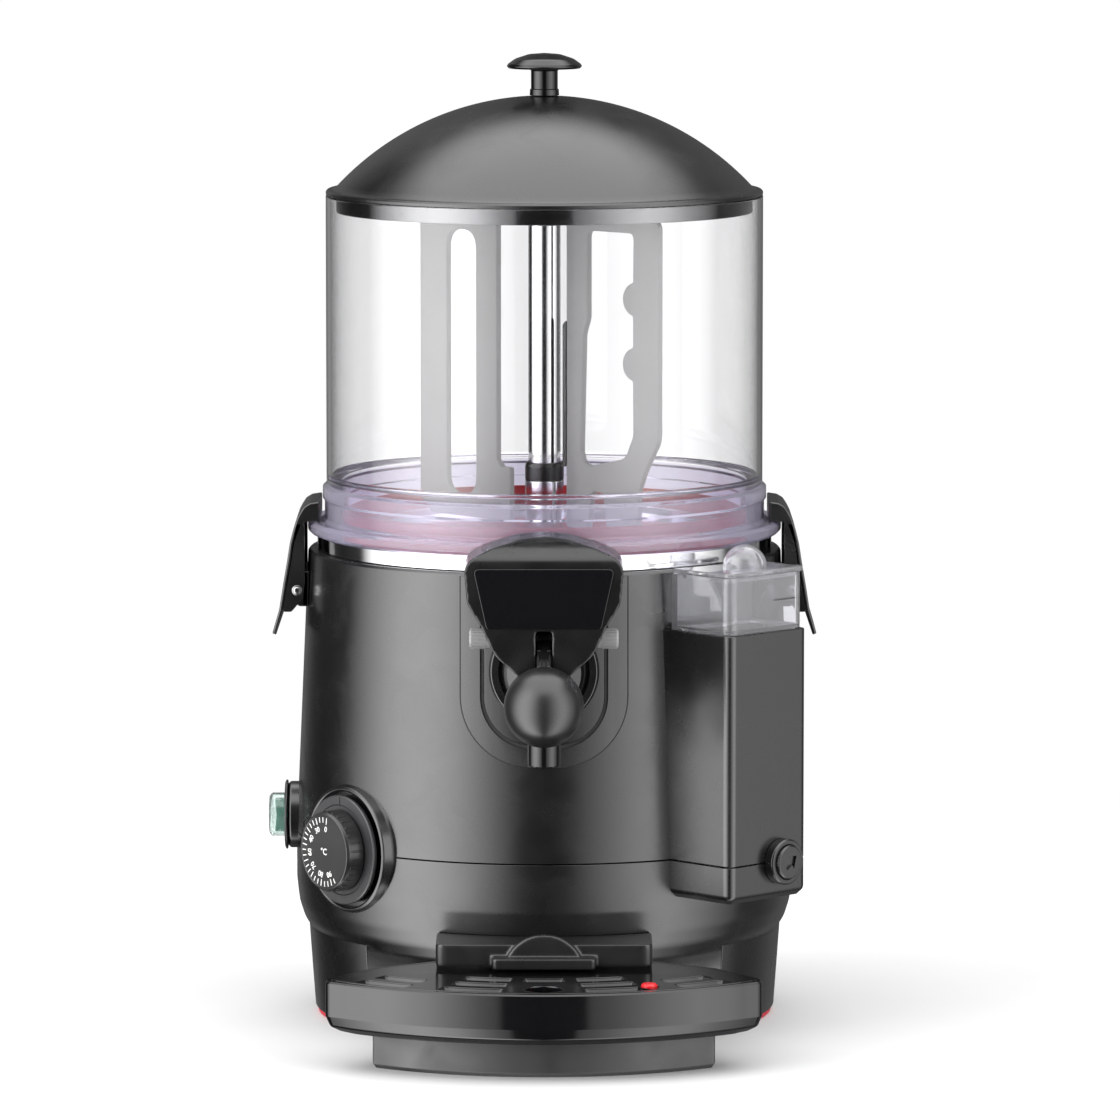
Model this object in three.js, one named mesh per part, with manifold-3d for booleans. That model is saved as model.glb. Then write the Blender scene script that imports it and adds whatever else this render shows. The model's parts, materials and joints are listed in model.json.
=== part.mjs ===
// Ten-litre bain-marie hot drink dispenser: millimetres, +Z up, front towards -Y.
// The vertical axis of the body is X = Y = 0 until the last lines, which centre the whole object.
import * as THREE from 'three';
import { mergeVertices } from 'three/addons/utils/BufferGeometryUtils.js';
import Module from 'manifold-3d';

const wasm = await Module();
wasm.setup();

// ---- driving dimensions -------------------------------------------------------------------------
const GAP = 0.3; // clearance between two separate pieces
const WALL = 3; // moulded casing wall
const ROUND = 36; // segments of a large round piece
const SMALL = 12; // segments of a small round piece

const CASE_TOP = { r: 141.6, z: 272.5 };
const SEAM = { r: 149, z: 104 };
const CASE_BOTTOM_Z = 16;
const FLOOR_Z = -5.5;
const LEG_BOTTOM_Z = -2.5;
const CASE_LIP_R = 128;
const COVER_R = 77;

const TANK_R = 124;
const TANK_BOTTOM_Z = 150;
const POT_FLANGE_R = 136;
const POT_TOP_Z = 283.7;
const NECK_R = 11.6;
const NECK_TOP_Z = 314.3;

const BOWL_R = 130.5;
const BOWL_WALL = 3;
const BOWL_TOP_Z = 485.5;
const FLANGE = { r: 141.7, z0: 284, z1: 291.5 };
const FOOT_R = 121.3; // bore of the bowl's thick foot
const FOOT_TOP_Z = 316;

const COLUMN_R = 9.6;
const COLUMN_BORE_R = 7.6;
const COLUMN_TOP_Z = 455;
const SHAFT_R = 5;

const LID = { z: 490, base: 124.5, rim: 130.5, rise: 54.5, wall: 2.5 };
const LID_KNOB = { r: 22.5, underside: 561, top: 570, stem: 8 };

const SIDE_ANGLE = 45; // side tank housing, degrees right of the front
const SIDE = { face: 191.8, left: -39.2, right: 26.8, z0: 82, z1: 239.5 };
const SIDE_TANK = { face: 188, left: -35.5, right: 23, z0: 87, z1: 273, back: 150.5 };

const DIAL_ANGLE = -51; // thermostat, degrees left of the front
const DIAL = { z: 105, turret: 36.5, face: 152, bezel: 32.5, knob: 24 };
const SWITCH = { z: 112, boss: 20, face: 154, plate: 21, boot: 13 };

const TAP = { z: 218, pivotY: -172, pivotZ: 240 };
const BALL = { r: 23, y: -216, z: 206 };

const GLAND_Z = 84;

const LATCH = { pivotX: 147.6, pivotZ: 251, halfWidth: 28 };
const TRAY = { centreY: -71, r: 192, half: 127, floorR: 169, z0: FLOOR_Z, z1: 46.7 };

// ---- solid helpers ------------------------------------------------------------------------------
const radians = THREE.MathUtils.degToRad;

function signedVolume(positions, index) {
  let sum = 0;
  const a = new THREE.Vector3();
  const b = new THREE.Vector3();
  const c = new THREE.Vector3();
  for (let i = 0; i < index.length; i += 3) {
    a.fromArray(positions, index[i] * 3);
    b.fromArray(positions, index[i + 1] * 3);
    c.fromArray(positions, index[i + 2] * 3);
    sum += a.dot(b.cross(c));
  }
  return sum / 6;
}

// Turn any closed three.js geometry into a solid, facing outwards.
function solid(geometry) {
  geometry.deleteAttribute('normal');
  geometry.deleteAttribute('uv');
  const merged = mergeVertices(geometry, 1e-4);
  const positions = merged.attributes.position.array;
  const index = [];
  for (let i = 0; i < merged.index.count; i += 3) {
    const [a, b, c] = [0, 1, 2].map((k) => merged.index.getX(i + k));
    if (a !== b && b !== c && a !== c) index.push(a, b, c);
  }
  if (signedVolume(positions, index) < 0) index.reverse();
  return new wasm.Manifold(new wasm.Mesh({
    numProp: 3,
    vertProperties: new Float32Array(positions),
    triVerts: new Uint32Array(index),
  }));
}

const moved = (body, matrix) => body.transform(Array.from(matrix.elements));
const union = (...bodies) => bodies.reduce((sum, body) => sum.add(body));

// Revolve a closed [radius, height] outline about the Z axis.
function revolve(outline, segments = ROUND) {
  const closed = [...outline, outline[0]].map(([r, z]) => new THREE.Vector2(r, z));
  const geometry = new THREE.LatheGeometry(closed, segments);
  return solid(geometry.rotateX(Math.PI / 2));
}

function box(x0, x1, y0, y1, z0, z1) {
  const geometry = new THREE.BoxGeometry(x1 - x0, y1 - y0, z1 - z0);
  return solid(geometry.translate((x0 + x1) / 2, (y0 + y1) / 2, (z0 + z1) / 2));
}

// Extrude a closed [x, y] outline from z0 to z1.
function prism(outline, z0, z1) {
  const shape = new THREE.Shape(outline.map(([x, y]) => new THREE.Vector2(x, y)));
  const geometry = new THREE.ExtrudeGeometry(shape, { depth: z1 - z0, bevelEnabled: false });
  return solid(geometry.translate(0, 0, z0));
}

// The same, for an [x, z] outline between two depths, and a [y, z] outline between two sides.
const TO_FRONT = new THREE.Matrix4().makeBasis(
  new THREE.Vector3(1, 0, 0), new THREE.Vector3(0, 0, 1), new THREE.Vector3(0, -1, 0));
const TO_SIDE = new THREE.Matrix4().makeBasis(
  new THREE.Vector3(0, 1, 0), new THREE.Vector3(0, 0, 1), new THREE.Vector3(1, 0, 0));
const frontPrism = (outline, y0, y1) => moved(prism(outline, -y1, -y0), TO_FRONT);
const sidePrism = (outline, x0, x1) => moved(prism(outline, x0, x1), TO_SIDE);

// A frame whose +Z points horizontally away from the body axis, `degrees` right of the front.
function outward(degrees, z, aside = 0) {
  const turn = radians(degrees);
  const out = new THREE.Vector3(Math.sin(turn), -Math.cos(turn), 0);
  const up = new THREE.Vector3(0, 0, 1);
  const side = new THREE.Vector3().crossVectors(up, out);
  const base = side.clone().multiplyScalar(aside).setZ(z);
  return new THREE.Matrix4().makeBasis(side, up, out).setPosition(base);
}

// A turned piece, a rod or a ring between two distances along such a frame.
const turned = (outline, frame, segments = SMALL) => moved(revolve(outline, segments), frame);
const rod = (r, from, to, frame, segments = SMALL) => turned(
  [[0, from], [r, from], [r, to], [0, to]], frame, segments);
const ring = (inner, outer, from, to, frame, segments = SMALL) => turned(
  [[inner, from], [outer, from], [outer, to], [inner, to]], frame, segments);
const UPRIGHT = new THREE.Matrix4();
const upright = (x, y) => new THREE.Matrix4().setPosition(x, y, 0);
const crossways = (y, z) => outward(90, z, y);
const frontwards = (x, z) => outward(0, z, x);

// Sweep a circle along a smooth path through the points.
function pipe(points, r, steps, sides) {
  const path = new THREE.CatmullRomCurve3(points.map((p) => new THREE.Vector3(...p)));
  const section = new THREE.Shape();
  section.absarc(0, 0, r, 0, Math.PI * 2);
  const options = { steps, extrudePath: path, curveSegments: sides / 2, bevelEnabled: false };
  return solid(new THREE.ExtrudeGeometry(section, options));
}

function sphere(r, x, y, z, across, down) {
  return solid(new THREE.SphereGeometry(r, across, down).rotateX(Math.PI / 2).translate(x, y, z));
}

function arc(cx, cy, r, fromDegrees, toDegrees, steps) {
  return Array.from({ length: steps + 1 }, (_, i) => {
    const turn = radians(fromDegrees + ((toDegrees - fromDegrees) * i) / steps);
    return [cx + r * Math.cos(turn), cy + r * Math.sin(turn)];
  });
}

// A rectangle with rounded corners, anticlockwise.
function roundedRectangle(x0, x1, y0, y1, r, steps = 4) {
  return [
    ...arc(x1 - r, y0 + r, r, -90, 0, steps),
    ...arc(x1 - r, y1 - r, r, 0, 90, steps),
    ...arc(x0 + r, y1 - r, r, 90, 180, steps),
    ...arc(x0 + r, y0 + r, r, 180, 270, steps),
  ];
}

// ---- materials and nodes ------------------------------------------------------------------------
const FINISHES = {
  black_plastic: ['#26272a', 0.42, 0],
  gloss_black: ['#0c0c0e', 0.12, 0],
  clear_plastic: ['#e9e7f2', 0.05, 0],
  white_plastic: ['#dfe1e2', 0.35, 0],
  grey_plastic: ['#4b4d50', 0.4, 0],
  green_plastic: ['#1f8f6a', 0.3, 0],
  red_rubber: ['#c4202c', 0.6, 0],
  black_rubber: ['#17171a', 0.8, 0],
  steel: ['#c9cbce', 0.18, 1],
  brass: ['#b8954f', 0.3, 1],
};

const group = new THREE.Group();

function add(name, finish, body) {
  const { vertProperties, triVerts } = body.getMesh();
  const geometry = new THREE.BufferGeometry();
  geometry.setAttribute('position', new THREE.BufferAttribute(new Float32Array(vertProperties), 3));
  geometry.setIndex(new THREE.BufferAttribute(new Uint32Array(triVerts), 1));
  const [color, roughness, metalness] = FINISHES[finish];
  const material = new THREE.MeshStandardMaterial({ color, roughness, metalness });
  material.name = finish;
  const mesh = new THREE.Mesh(geometry, material);
  mesh.name = name;
  group.add(mesh);
}

// ---- casing outlines ----------------------------------------------------------------------------
// Outer radius of the upper casing at a height, moved out by `offset`.
const caseSlope = (SEAM.r - CASE_TOP.r) / (CASE_TOP.z - SEAM.z);
const caseRadius = (z, offset = 0) => SEAM.r - (z - SEAM.z) * caseSlope + offset;

const coneSolid = (offset, z0, z1) => revolve(
  [[0, z0], [caseRadius(z0, offset), z0], [caseRadius(z1, offset), z1], [0, z1]]);

const LOWER_OUTER = [
  [92, CASE_BOTTOM_Z], [107, 22.6], [122.5, 30], [132.5, 37.6], [139, 44], [144.5, 52.5],
  [147.5, 62], [149, 75],
];

// ---- side tank housing shapes -------------------------------------------------------------------
// Outline seen from above: distance from the body axis to the outer face, then along the face.
function sideBlock(back, face, left, right, z0, z1, corner) {
  const outline = [
    [back, left],
    ...arc(face - corner, left + corner, corner, -90, 0, 3),
    ...arc(face - corner, right - corner, corner, 0, 90, 3),
    [back, right],
  ];
  return prism(outline, z0, z1).rotate([0, 0, SIDE_ANGLE - 90]);
}

// ---- upper and lower casing ---------------------------------------------------------------------
const dialFrame = outward(DIAL_ANGLE, DIAL.z);
const switchFrame = outward(-90, SWITCH.z);
const drainFrame = outward(SIDE_ANGLE, SEAM.z, 3.6);
const seamCut = 0.25; // half the joint line between the two casings

function casingOuter() {
  const body = revolve([
    [0, CASE_BOTTOM_Z], ...LOWER_OUTER, [SEAM.r, SEAM.z],
    [CASE_TOP.r, CASE_TOP.z], [CASE_TOP.r - 1, 274], [0, 274],
  ]);
  const housing = sideBlock(120, SIDE.face, SIDE.left, SIDE.right, SIDE.z0, SIDE.z1, 5);
  const turret = turned([
    [0, 110], [44, 110], [44, 136], [DIAL.turret, 148], [DIAL.turret, DIAL.face], [0, DIAL.face],
  ], dialFrame, 24);
  const boss = rod(SWITCH.boss, 120, SWITCH.face, switchFrame);
  return union(body, housing, turret, boss);
}

function casingInner() {
  const body = revolve([
    [0, CASE_BOTTOM_Z + WALL], [91, CASE_BOTTOM_Z + WALL], [105.6, 25.4], [120.8, 32.8],
    [130.4, 40], [136.5, 46], [141.7, 54], [144.5, 62.8], [146, 75], [146, SEAM.z],
    [CASE_TOP.r - WALL, 271], [CASE_LIP_R, 271], [CASE_LIP_R, 280], [0, 280],
  ]);
  const turret = rod(DIAL.turret - WALL, 100, DIAL.face - WALL, dialFrame, 24);
  const boss = rod(SWITCH.boss - WALL, 100, SWITCH.face - WALL, switchFrame);
  return union(body, turret, boss);
}

function casingHoles() {
  const well = sideBlock(
    120, SIDE.face - WALL, SIDE.left + WALL, SIDE.right - WALL, SIDE.z0 + WALL, 300, 3);
  const bodyShape = union(
    revolve([[0, 40], [147, 60], [149, 75], [SEAM.r, SEAM.z], [CASE_TOP.r, CASE_TOP.z], [0, 275]]));
  return [
    well.subtract(bodyShape),
    rod(COVER_R + GAP, 10, 30, UPRIGHT, ROUND),
    rod(4, 140, 160, dialFrame),
    rod(10, 140, 160, switchFrame),
    rod(8.4, 180, 200, drainFrame),
    rod(11.8, 120, 160, outward(0, TAP.z)),
    rod(5.6, 130, 160, outward(SIDE_ANGLE, 165)),
    rod(6.4, 130, 170, outward(180, GLAND_Z)),
  ];
}

// Four curved legs grow out of the lower casing, two near the front and two behind.
const LEG_ANGLES = [-69, 69, -128, 128];
const LEG_HALF_ANGLE = 21;

function arcBlock(centreDegrees, halfDegrees, innerR, outline) {
  const shape = revolve(outline, ROUND);
  const reach = 220;
  const fan = [[0, 0], ...arc(0, 0, reach, -halfDegrees, halfDegrees, 2)];
  const wedge = prism(fan, -10, 80).rotate([0, 0, centreDegrees - 90]);
  return shape.intersect(wedge).subtract(rod(innerR, -20, 90, UPRIGHT, ROUND));
}

const legOutline = [[110, LEG_BOTTOM_Z], [138, LEG_BOTTOM_Z], [141.4, 46.5], [110, 24]];

const outer = casingOuter();
const inner = casingInner();
const holes = casingHoles();
const shell = holes.reduce((body, hole) => body.subtract(hole), outer.subtract(inner));
const below = box(-260, 260, -260, 260, -10, SEAM.z - seamCut);
const above = box(-260, 260, -260, 260, SEAM.z + seamCut, 300);

const legs = LEG_ANGLES.map((angle) => arcBlock(angle, LEG_HALF_ANGLE, 122, legOutline));
add('lower_casing', 'black_plastic', union(shell.intersect(below), ...legs));
add('upper_casing', 'black_plastic', shell.intersect(above));

LEG_ANGLES.forEach((angle, i) => {
  const outline = [
    [120, FLOOR_Z], [136.5, FLOOR_Z], [136.5, FLOOR_Z + 2.7], [120, FLOOR_Z + 2.7],
  ];
  add(`foot_pad_${i + 1}`, 'red_rubber', arcBlock(angle, LEG_HALF_ANGLE - 1, 123, outline));
});

add('bottom_cover', 'steel', revolve([
  [0, 13], [82, 13], [82, 15.6], [COVER_R, 15.6], [COVER_R, 18], [0, 18],
]));
add('cable_gland', 'black_plastic', (() => {
  const frame = outward(180, GLAND_Z);
  const bush = rod(6, 138, 150, frame).add(turned(
    [[0, 149.6], [11, 149.6], [11, 153], [8.5, 155], [8.5, 162], [7, 163], [0, 163]], frame));
  return bush.subtract(rod(4, 130, 170, frame));
})());

// ---- boiler, pot, bowl and seal -----------------------------------------------------------------
const outletFrame = outward(0, TAP.z);
const pinFrame = crossways(TAP.pivotY, TAP.pivotZ);
const fillFrame = outward(SIDE_ANGLE, 165);
const OUTLET_Y = -104;

// A pipe of one radius that drops from the pot floor and turns towards the tap.
function outletElbow(r, top, front) {
  return union(
    rod(r, TAP.z, top, upright(0, OUTLET_Y)),
    sphere(r, 0, OUTLET_Y, TAP.z, SMALL, 8),
    rod(r, -OUTLET_Y, front, outletFrame),
  );
}

add('boiler_tank', 'steel', revolve([
  [0, TANK_BOTTOM_Z], [116, TANK_BOTTOM_Z], [TANK_R, TANK_BOTTOM_Z + 8], [TANK_R, 274.3],
  [133.8, 274.3], [133.8, 275.8], [TANK_R - 2, 275.8], [TANK_R - 2, TANK_BOTTOM_Z + 9],
  [115, TANK_BOTTOM_Z + 2], [0, TANK_BOTTOM_Z + 2],
]).subtract(rod(COLUMN_R + GAP, 140, 160, UPRIGHT))
  .subtract(rod(11.4, 110, 140, outletFrame))
  .subtract(rod(5.4, 110, 140, fillFrame))
  .subtract(rod(5.6, 140, 160, upright(60, 60)))
  .subtract(rod(5.6, 140, 160, upright(-60, 60)))
  .subtract(rod(3.4, 140, 160, upright(-48, -36))));

add('heated_pot', 'steel', revolve([
  [COLUMN_R + GAP, NECK_TOP_Z], [NECK_R, NECK_TOP_Z], [NECK_R, POT_TOP_Z],
  [113.2, POT_TOP_Z], [113.2, 288], [114.7, 288], [114.7, POT_TOP_Z],
  [POT_FLANGE_R, POT_TOP_Z], [POT_FLANGE_R, 274.3],
  [POT_FLANGE_R - 1.8, 274.3], [POT_FLANGE_R - 1.8, 281.7], [COLUMN_R + GAP, 281.7],
]).subtract(rod(11.3, 270, 300, upright(0, OUTLET_Y))));

add('outlet_pipe', 'steel', outletElbow(11, 283.6, 146).subtract(outletElbow(8.6, 300, 160)));

add('bowl', 'clear_plastic', revolve([
  [FOOT_R, FLANGE.z0], [FLANGE.r, FLANGE.z0], [FLANGE.r, FLANGE.z1],
  [131.6, FLANGE.z1], [131.6, 303.4], [132.8, 304.6], [132.8, 311.4], [BOWL_R, 312.6],
  [BOWL_R, BOWL_TOP_Z], [BOWL_R - BOWL_WALL, BOWL_TOP_Z],
  [BOWL_R - BOWL_WALL, FOOT_TOP_Z + 2.5], [FOOT_R, FOOT_TOP_Z],
]));

add('bowl_seal', 'red_rubber', revolve([
  [115, FLANGE.z0], [FOOT_R - GAP, FLANGE.z0], [FOOT_R - GAP, 298], [117, 299], [115, 296],
]));

// ---- stirring drive -----------------------------------------------------------------------------
add('column_tube', 'steel', revolve([
  [COLUMN_BORE_R, 144], [14, 144], [14, 149.7], [COLUMN_R, 149.7], [COLUMN_R, COLUMN_TOP_Z],
  [COLUMN_BORE_R, COLUMN_TOP_Z],
], SMALL));

add('column_bush', 'black_plastic', revolve([
  [COLUMN_R + GAP, NECK_TOP_Z + GAP], [NECK_R, NECK_TOP_Z + GAP], [NECK_R, 324.3], [11, 325.3],
  [COLUMN_R + GAP, 325.3],
], SMALL));

add('drive_shaft', 'steel', revolve([
  [0, 137], [SHAFT_R, 137], [SHAFT_R, 458], [4, 459], [4, 471], [0, 471],
], SMALL));

add('drive_coupling', 'brass', revolve([
  [0, 118], [9, 118], [9, 136.7], [0, 136.7],
], SMALL));

add('gear_box', 'grey_plastic', union(
  prism(roundedRectangle(-34, 34, -26, 46, 8), 86, 112),
  rod(13, 112, 117.7, UPRIGHT),
));

add('gear_motor', 'grey_plastic', union(
  rod(24, 46, 85.7, upright(0, 18)),
  rod(19, 42, 46, upright(0, 18)),
));

// The stirrer is one moulded frame: a hub over the shaft, a top bar and two different blades.
const STIRRER_TURN = 44;
const STIR = { bottom: 288, top: 474, t: 2.2 };

// Seen square on: the left blade has a long slot, the right one two bumps inside its frame.
// The two meet only in the cross bar at the top, so the column stands between them.
function bladeOutline() {
  return new THREE.Shape([
    [-104, STIR.top], [95, STIR.top], [95, 344], [84, 325], [78.5, 312], [77, STIR.bottom],
    [53, STIR.bottom], [49.5, 309.5], [45.5, 311.7], [41.5, 309.5], [38, STIR.bottom],
    [20, STIR.bottom], [20, 466], [-38, 466], [-38, 324], [-34, 320],
    [-27, 320], [-27, STIR.bottom], [-96, STIR.bottom], [-104, 296],
  ].map(([x, z]) => new THREE.Vector2(x, z)));
}

function blades() {
  const shape = bladeOutline();
  const window = (points) => new THREE.Path(points.map(([x, z]) => new THREE.Vector2(x, z)));
  shape.holes.push(window(roundedRectangle(-80.5, -56, 301, 461.5, 12, 3)));
  shape.holes.push(window([
    [32, 334], ...arc(40, 334, 8, 180, 270, 3), [68, 332], [74.6, 346],
    ...arc(76, 388.5, 10, 260, 100, 4), ...arc(76, 427, 10, 260, 100, 4), [74.6, 466],
    [37.5, 466], [37.5, 414], [34, 404],
  ]));
  const options = { depth: STIR.t * 2, bevelEnabled: false };
  const geometry = new THREE.ExtrudeGeometry(shape, options).translate(0, 0, -STIR.t);
  return moved(solid(geometry), TO_FRONT);
}

add('stirrer', 'white_plastic', (() => {
  const hub = rod(13, 459.4, STIR.top + 4, UPRIGHT);
  const bore = rod(5.4, 400, 476, UPRIGHT).add(rod(COLUMN_R + 1.2, 250, 459, UPRIGHT));
  return union(blades(), hub).subtract(bore).rotate([0, 0, -STIRRER_TURN]);
})());

// ---- heater and thermostat ----------------------------------------------------------------------
add('heating_element', 'steel', (() => {
  const loop = [...arc(0, 0, 84, 52, 308, 18)].map(([x, y]) => [x, y, 166]);
  const turnedLoop = loop.map(([x, y, z]) => [y, x, z]);
  const legsAt = [[60, 60], [-60, 60]];
  const [start, end] = [turnedLoop[0], turnedLoop[turnedLoop.length - 1]];
  const near = (p) => legsAt.find(([x]) => Math.sign(x) === Math.sign(p[0]));
  const path = [
    [...near(start), 132], [...near(start), 156], ...turnedLoop,
    [...near(end), 156], [...near(end), 132],
  ];
  return pipe(path, 4, 32, 6);
})());

add('thermostat_body', 'grey_plastic', union(
  rod(19, 122, 148.7, dialFrame),
  rod(3.6, 148.7, 163, dialFrame),
));
add('thermostat_bulb', 'brass', rod(3, 138, 200, upright(-48, -36), 12));
add('thermostat_bezel', 'grey_plastic', turned([
  [5, DIAL.face + GAP], [DIAL.bezel, DIAL.face + GAP], [DIAL.bezel, 155], [5, 155],
], dialFrame, 24));
add('thermostat_knob', 'black_plastic', (() => {
  const body = turned([
    [0, 155.3], [DIAL.knob, 155.3], [DIAL.knob - 0.8, 166.4], [DIAL.knob - 2, 167.4], [0, 167.4],
  ], dialFrame, 24);
  const pointer = box(-1, 1, 13, 21, 166, 168).transform(Array.from(dialFrame.elements));
  return body.subtract(rod(3.9, 150, 163.4, dialFrame)).add(pointer);
})());

// ---- switch -------------------------------------------------------------------------------------
add('switch_plate', 'black_plastic', (() => {
  const plate = ring(11, SWITCH.plate, SWITCH.face + GAP, 156, switchFrame);
  return plate;
})());
add('switch_boot', 'clear_plastic', (() => {
  const skin = turned([
    [0, 165.6], [8, 165.4], [11.4, 163.6], [SWITCH.boot, 160], [SWITCH.boot, 156.3],
    [11.8, 156.3], [11.8, 160], [10.4, 162.8], [7.6, 164.2], [0, 164.4],
  ], switchFrame);
  return skin;
})());
add('switch_rocker', 'green_plastic', (() => {
  const outline = [
    [-7.6, 150], [7.6, 150], [7.6, 161.2], [0, 159.8], [-7.6, 161.2],
  ];
  const face = prism(outline, -4.6, 4.6);
  const toSwitch = switchFrame.clone().multiply(new THREE.Matrix4().makeBasis(
    new THREE.Vector3(0, 1, 0), new THREE.Vector3(0, 0, 1), new THREE.Vector3(1, 0, 0)));
  return moved(face, toSwitch);
})());

// ---- latches ------------------------------------------------------------------------------------
const LATCH_OUTER = [
  [162.5, 225], [158.3, 239.5], [156, 254], [153.5, 268.5], [151.8, 279.4], [150, 286.6],
  [147.6, 293.9], [145.8, 297.5], [143.4, 301.1], [139.9, 303.2], [134, 304.1],
];
const LATCH_INNER = [
  [134, 292], [142, 292], [144.6, 289.6], [146.6, 284], [148.2, 279.5], [150, 268],
  [152.8, 253], [155.2, 239], [160.2, 224.2],
];
const latchFrame = frontwards(LATCH.pivotX, LATCH.pivotZ);
const mirroredX = (body) => body.mirror([1, 0, 0]);
const evenPrism = (outline, half) => frontPrism(outline, -half, half);

// Outer skin with a hook at its top and a cheek at each end.
function latch() {
  const skin = evenPrism([...LATCH_OUTER, ...LATCH_INNER], LATCH.halfWidth);
  const cheeks = evenPrism([
    [157, 238], [154.6, 254], [152, 268.5], [150.4, 279.4], [148, 288], [144.4, 279.4],
    [144.2, 246], [151, 238],
  ], LATCH.halfWidth);
  const between = evenPrism(
    [[130, 220], [170, 220], [170, 310], [130, 310]], LATCH.halfWidth - 2.4);
  return skin.add(cheeks.subtract(between)).subtract(rod(3.3, -40, 40, latchFrame));
}

// A curved plate on the casing with two lugs that hold the latch pin.
function latchBracket() {
  const casing = coneSolid(GAP, 200, 272);
  const lugs = evenPrism([
    [136, 241], [147, 241], [150.6, 247], [150.6, 255], [147, 262], [136, 262],
  ], LATCH.halfWidth - 2.8).subtract(evenPrism(
    [[130, 230], [160, 230], [160, 270], [130, 270]], 16));
  const plate = coneSolid(2.3, 241, 262).intersect(box(125, 160, -25.2, 25.2, 230, 270));
  return lugs.add(plate).subtract(casing).subtract(rod(3.3, -40, 40, latchFrame));
}

[['right', (body) => body], ['left', mirroredX]].forEach(([name, place]) => {
  add(`latch_${name}`, 'black_plastic', place(latch()));
  add(`latch_bracket_${name}`, 'black_plastic', place(latchBracket()));
  add(`latch_pin_${name}`, 'steel', place(rod(3, -29.5, 29.5, latchFrame, 16)));
});

// ---- tap ----------------------------------------------------------------------------------------
// A plate outline with a half-round foot, seen from the front.
function footedPlate(halfWidth, z0, z1, corner) {
  return [
    ...arc(-halfWidth + corner, z0 + corner, corner, 180, 270, 6),
    ...arc(halfWidth - corner, z0 + corner, corner, 270, 360, 6),
    [halfWidth, z1], [-halfWidth, z1],
  ];
}

const skinLayer = (from, to) => coneSolid(to, 150, 272).subtract(coneSolid(from, 140, 275));

add('tap_surround', 'black_plastic', skinLayer(GAP, 1.9)
  .intersect(frontPrism(footedPlate(48.5, 161.6, 272, 40), -170, -100))
  .subtract(frontPrism(footedPlate(37.4, 172, 280, 30), -180, -90)));
add('tap_mount_plate', 'black_plastic', skinLayer(GAP, 2.8)
  .intersect(frontPrism(footedPlate(34, 175.5, 250, 27), -170, -100))
  .subtract(rod(11.8, 100, 170, outletFrame)));

const plateSolid = coneSolid(2.8 + GAP, 150, 272);
add('tap_collar', 'black_plastic', turned([
  [26.5, 130], [32.2, 130], [32.2, 150.6], [31, 152], [26.5, 152],
], outletFrame, 24).subtract(plateSolid));

add('tap_body', 'gloss_black', (() => {
  const barrel = turned([
    [0, 130], [23.5, 130], [23.5, 160], [15, 165], [15, 181.5], [0, 181.5],
  ], outletFrame, 24);
  const nozzle = rod(9.6, 165.5, TAP.z, upright(0, TAP.pivotY));
  const lugs = box(-13, 13, -179, -166, 222, 247).subtract(box(-9, 9, -190, -150, 226, 260));
  const bore = rod(11, 155, 178, outletFrame);
  const rodHole = rod(3.4, 170, 190, outletFrame);
  const inlet = rod(8.6, 120, 156, outletFrame);
  const outlet = rod(7.4, 160, TAP.z, upright(0, TAP.pivotY));
  const web = box(-1.2, 1.2, -179.8, -164.2, 168, 190);
  const pinHole = rod(3.3, -60, 60, pinFrame);
  return union(barrel, nozzle, lugs).subtract(union(bore, rodHole, inlet, outlet, pinHole))
    .add(web).subtract(plateSolid);
})());

// Hood over the valve: an outline from the front crossed with an outline from the side.
const HOOD_FRONT = [
  [-46, 282], [-44.4, 262], [-37, 250], [-28.3, 231.5], [-15.4, 220], [15.4, 220], [28.3, 231.5],
  [37, 250], [44.4, 262], [46, 282], [42.6, 288], [31, 293.4], [15, 297.6], [0, 299], [-15, 297.6],
  [-31, 293.4], [-42.6, 288],
];
const hoodFaceY = (z, depth) => -188.6 - 0.119 * (z - 246) + depth;
const HOOD_SIDE = [
  [-143.6, 300], [-165, 300], [-183, 294], [-191.5, 287], [hoodFaceY(283, 0), 283],
  [hoodFaceY(246, 0), 246], [-186, 219], [-176, 219], [-165, 232], [-152, 262], [-143.6, 278],
];
const HOOD_CAVITY_FRONT = [
  [-40.8, 280], [-41, 263], [-34.3, 251], [-25.6, 232.6], [-12.4, 220.6], [-12.4, 205], [12.4, 205],
  [12.4, 220.6], [25.6, 232.6], [34.3, 251], [41, 263], [40.8, 280], [37.6, 285.2], [29, 290],
  [14.6, 294.4], [0, 296], [-14.6, 294.4], [-29, 290], [-37.6, 285.2],
];
const HOOD_CAVITY_SIDE = [
  [-130, 297], [-164, 296.6], [-181, 291], [-187.6, 285.5], [hoodFaceY(283, 3.4), 282],
  [hoodFaceY(246, 3.4), 246], [-182.6, 210], [-130, 210],
];
const BADGE = [[-33.2, 247.4], [33.2, 247.4], [40.8, 283], [-40.8, 283]];

const scaled = (outline, cx, cz, kx, kz) => outline.map(([x, z]) => [
  cx + (x - cx) * kx, cz + (z - cz) * kz,
]);

function hoodOutside(grow = 1) {
  return frontPrism(scaled(HOOD_FRONT, 0, 258, grow, grow), -200, -140)
    .intersect(sidePrism(HOOD_SIDE, -50, 50));
}

// The slab between two depths behind the sloping front face of the hood.
function faceSlab(outline, from, to) {
  const band = [
    [hoodFaceY(240, from), 240], [hoodFaceY(290, from), 290],
    [hoodFaceY(290, to), 290], [hoodFaceY(240, to), 240],
  ];
  return frontPrism(outline, -210, -170).intersect(sidePrism(band, -60, 60));
}

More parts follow.
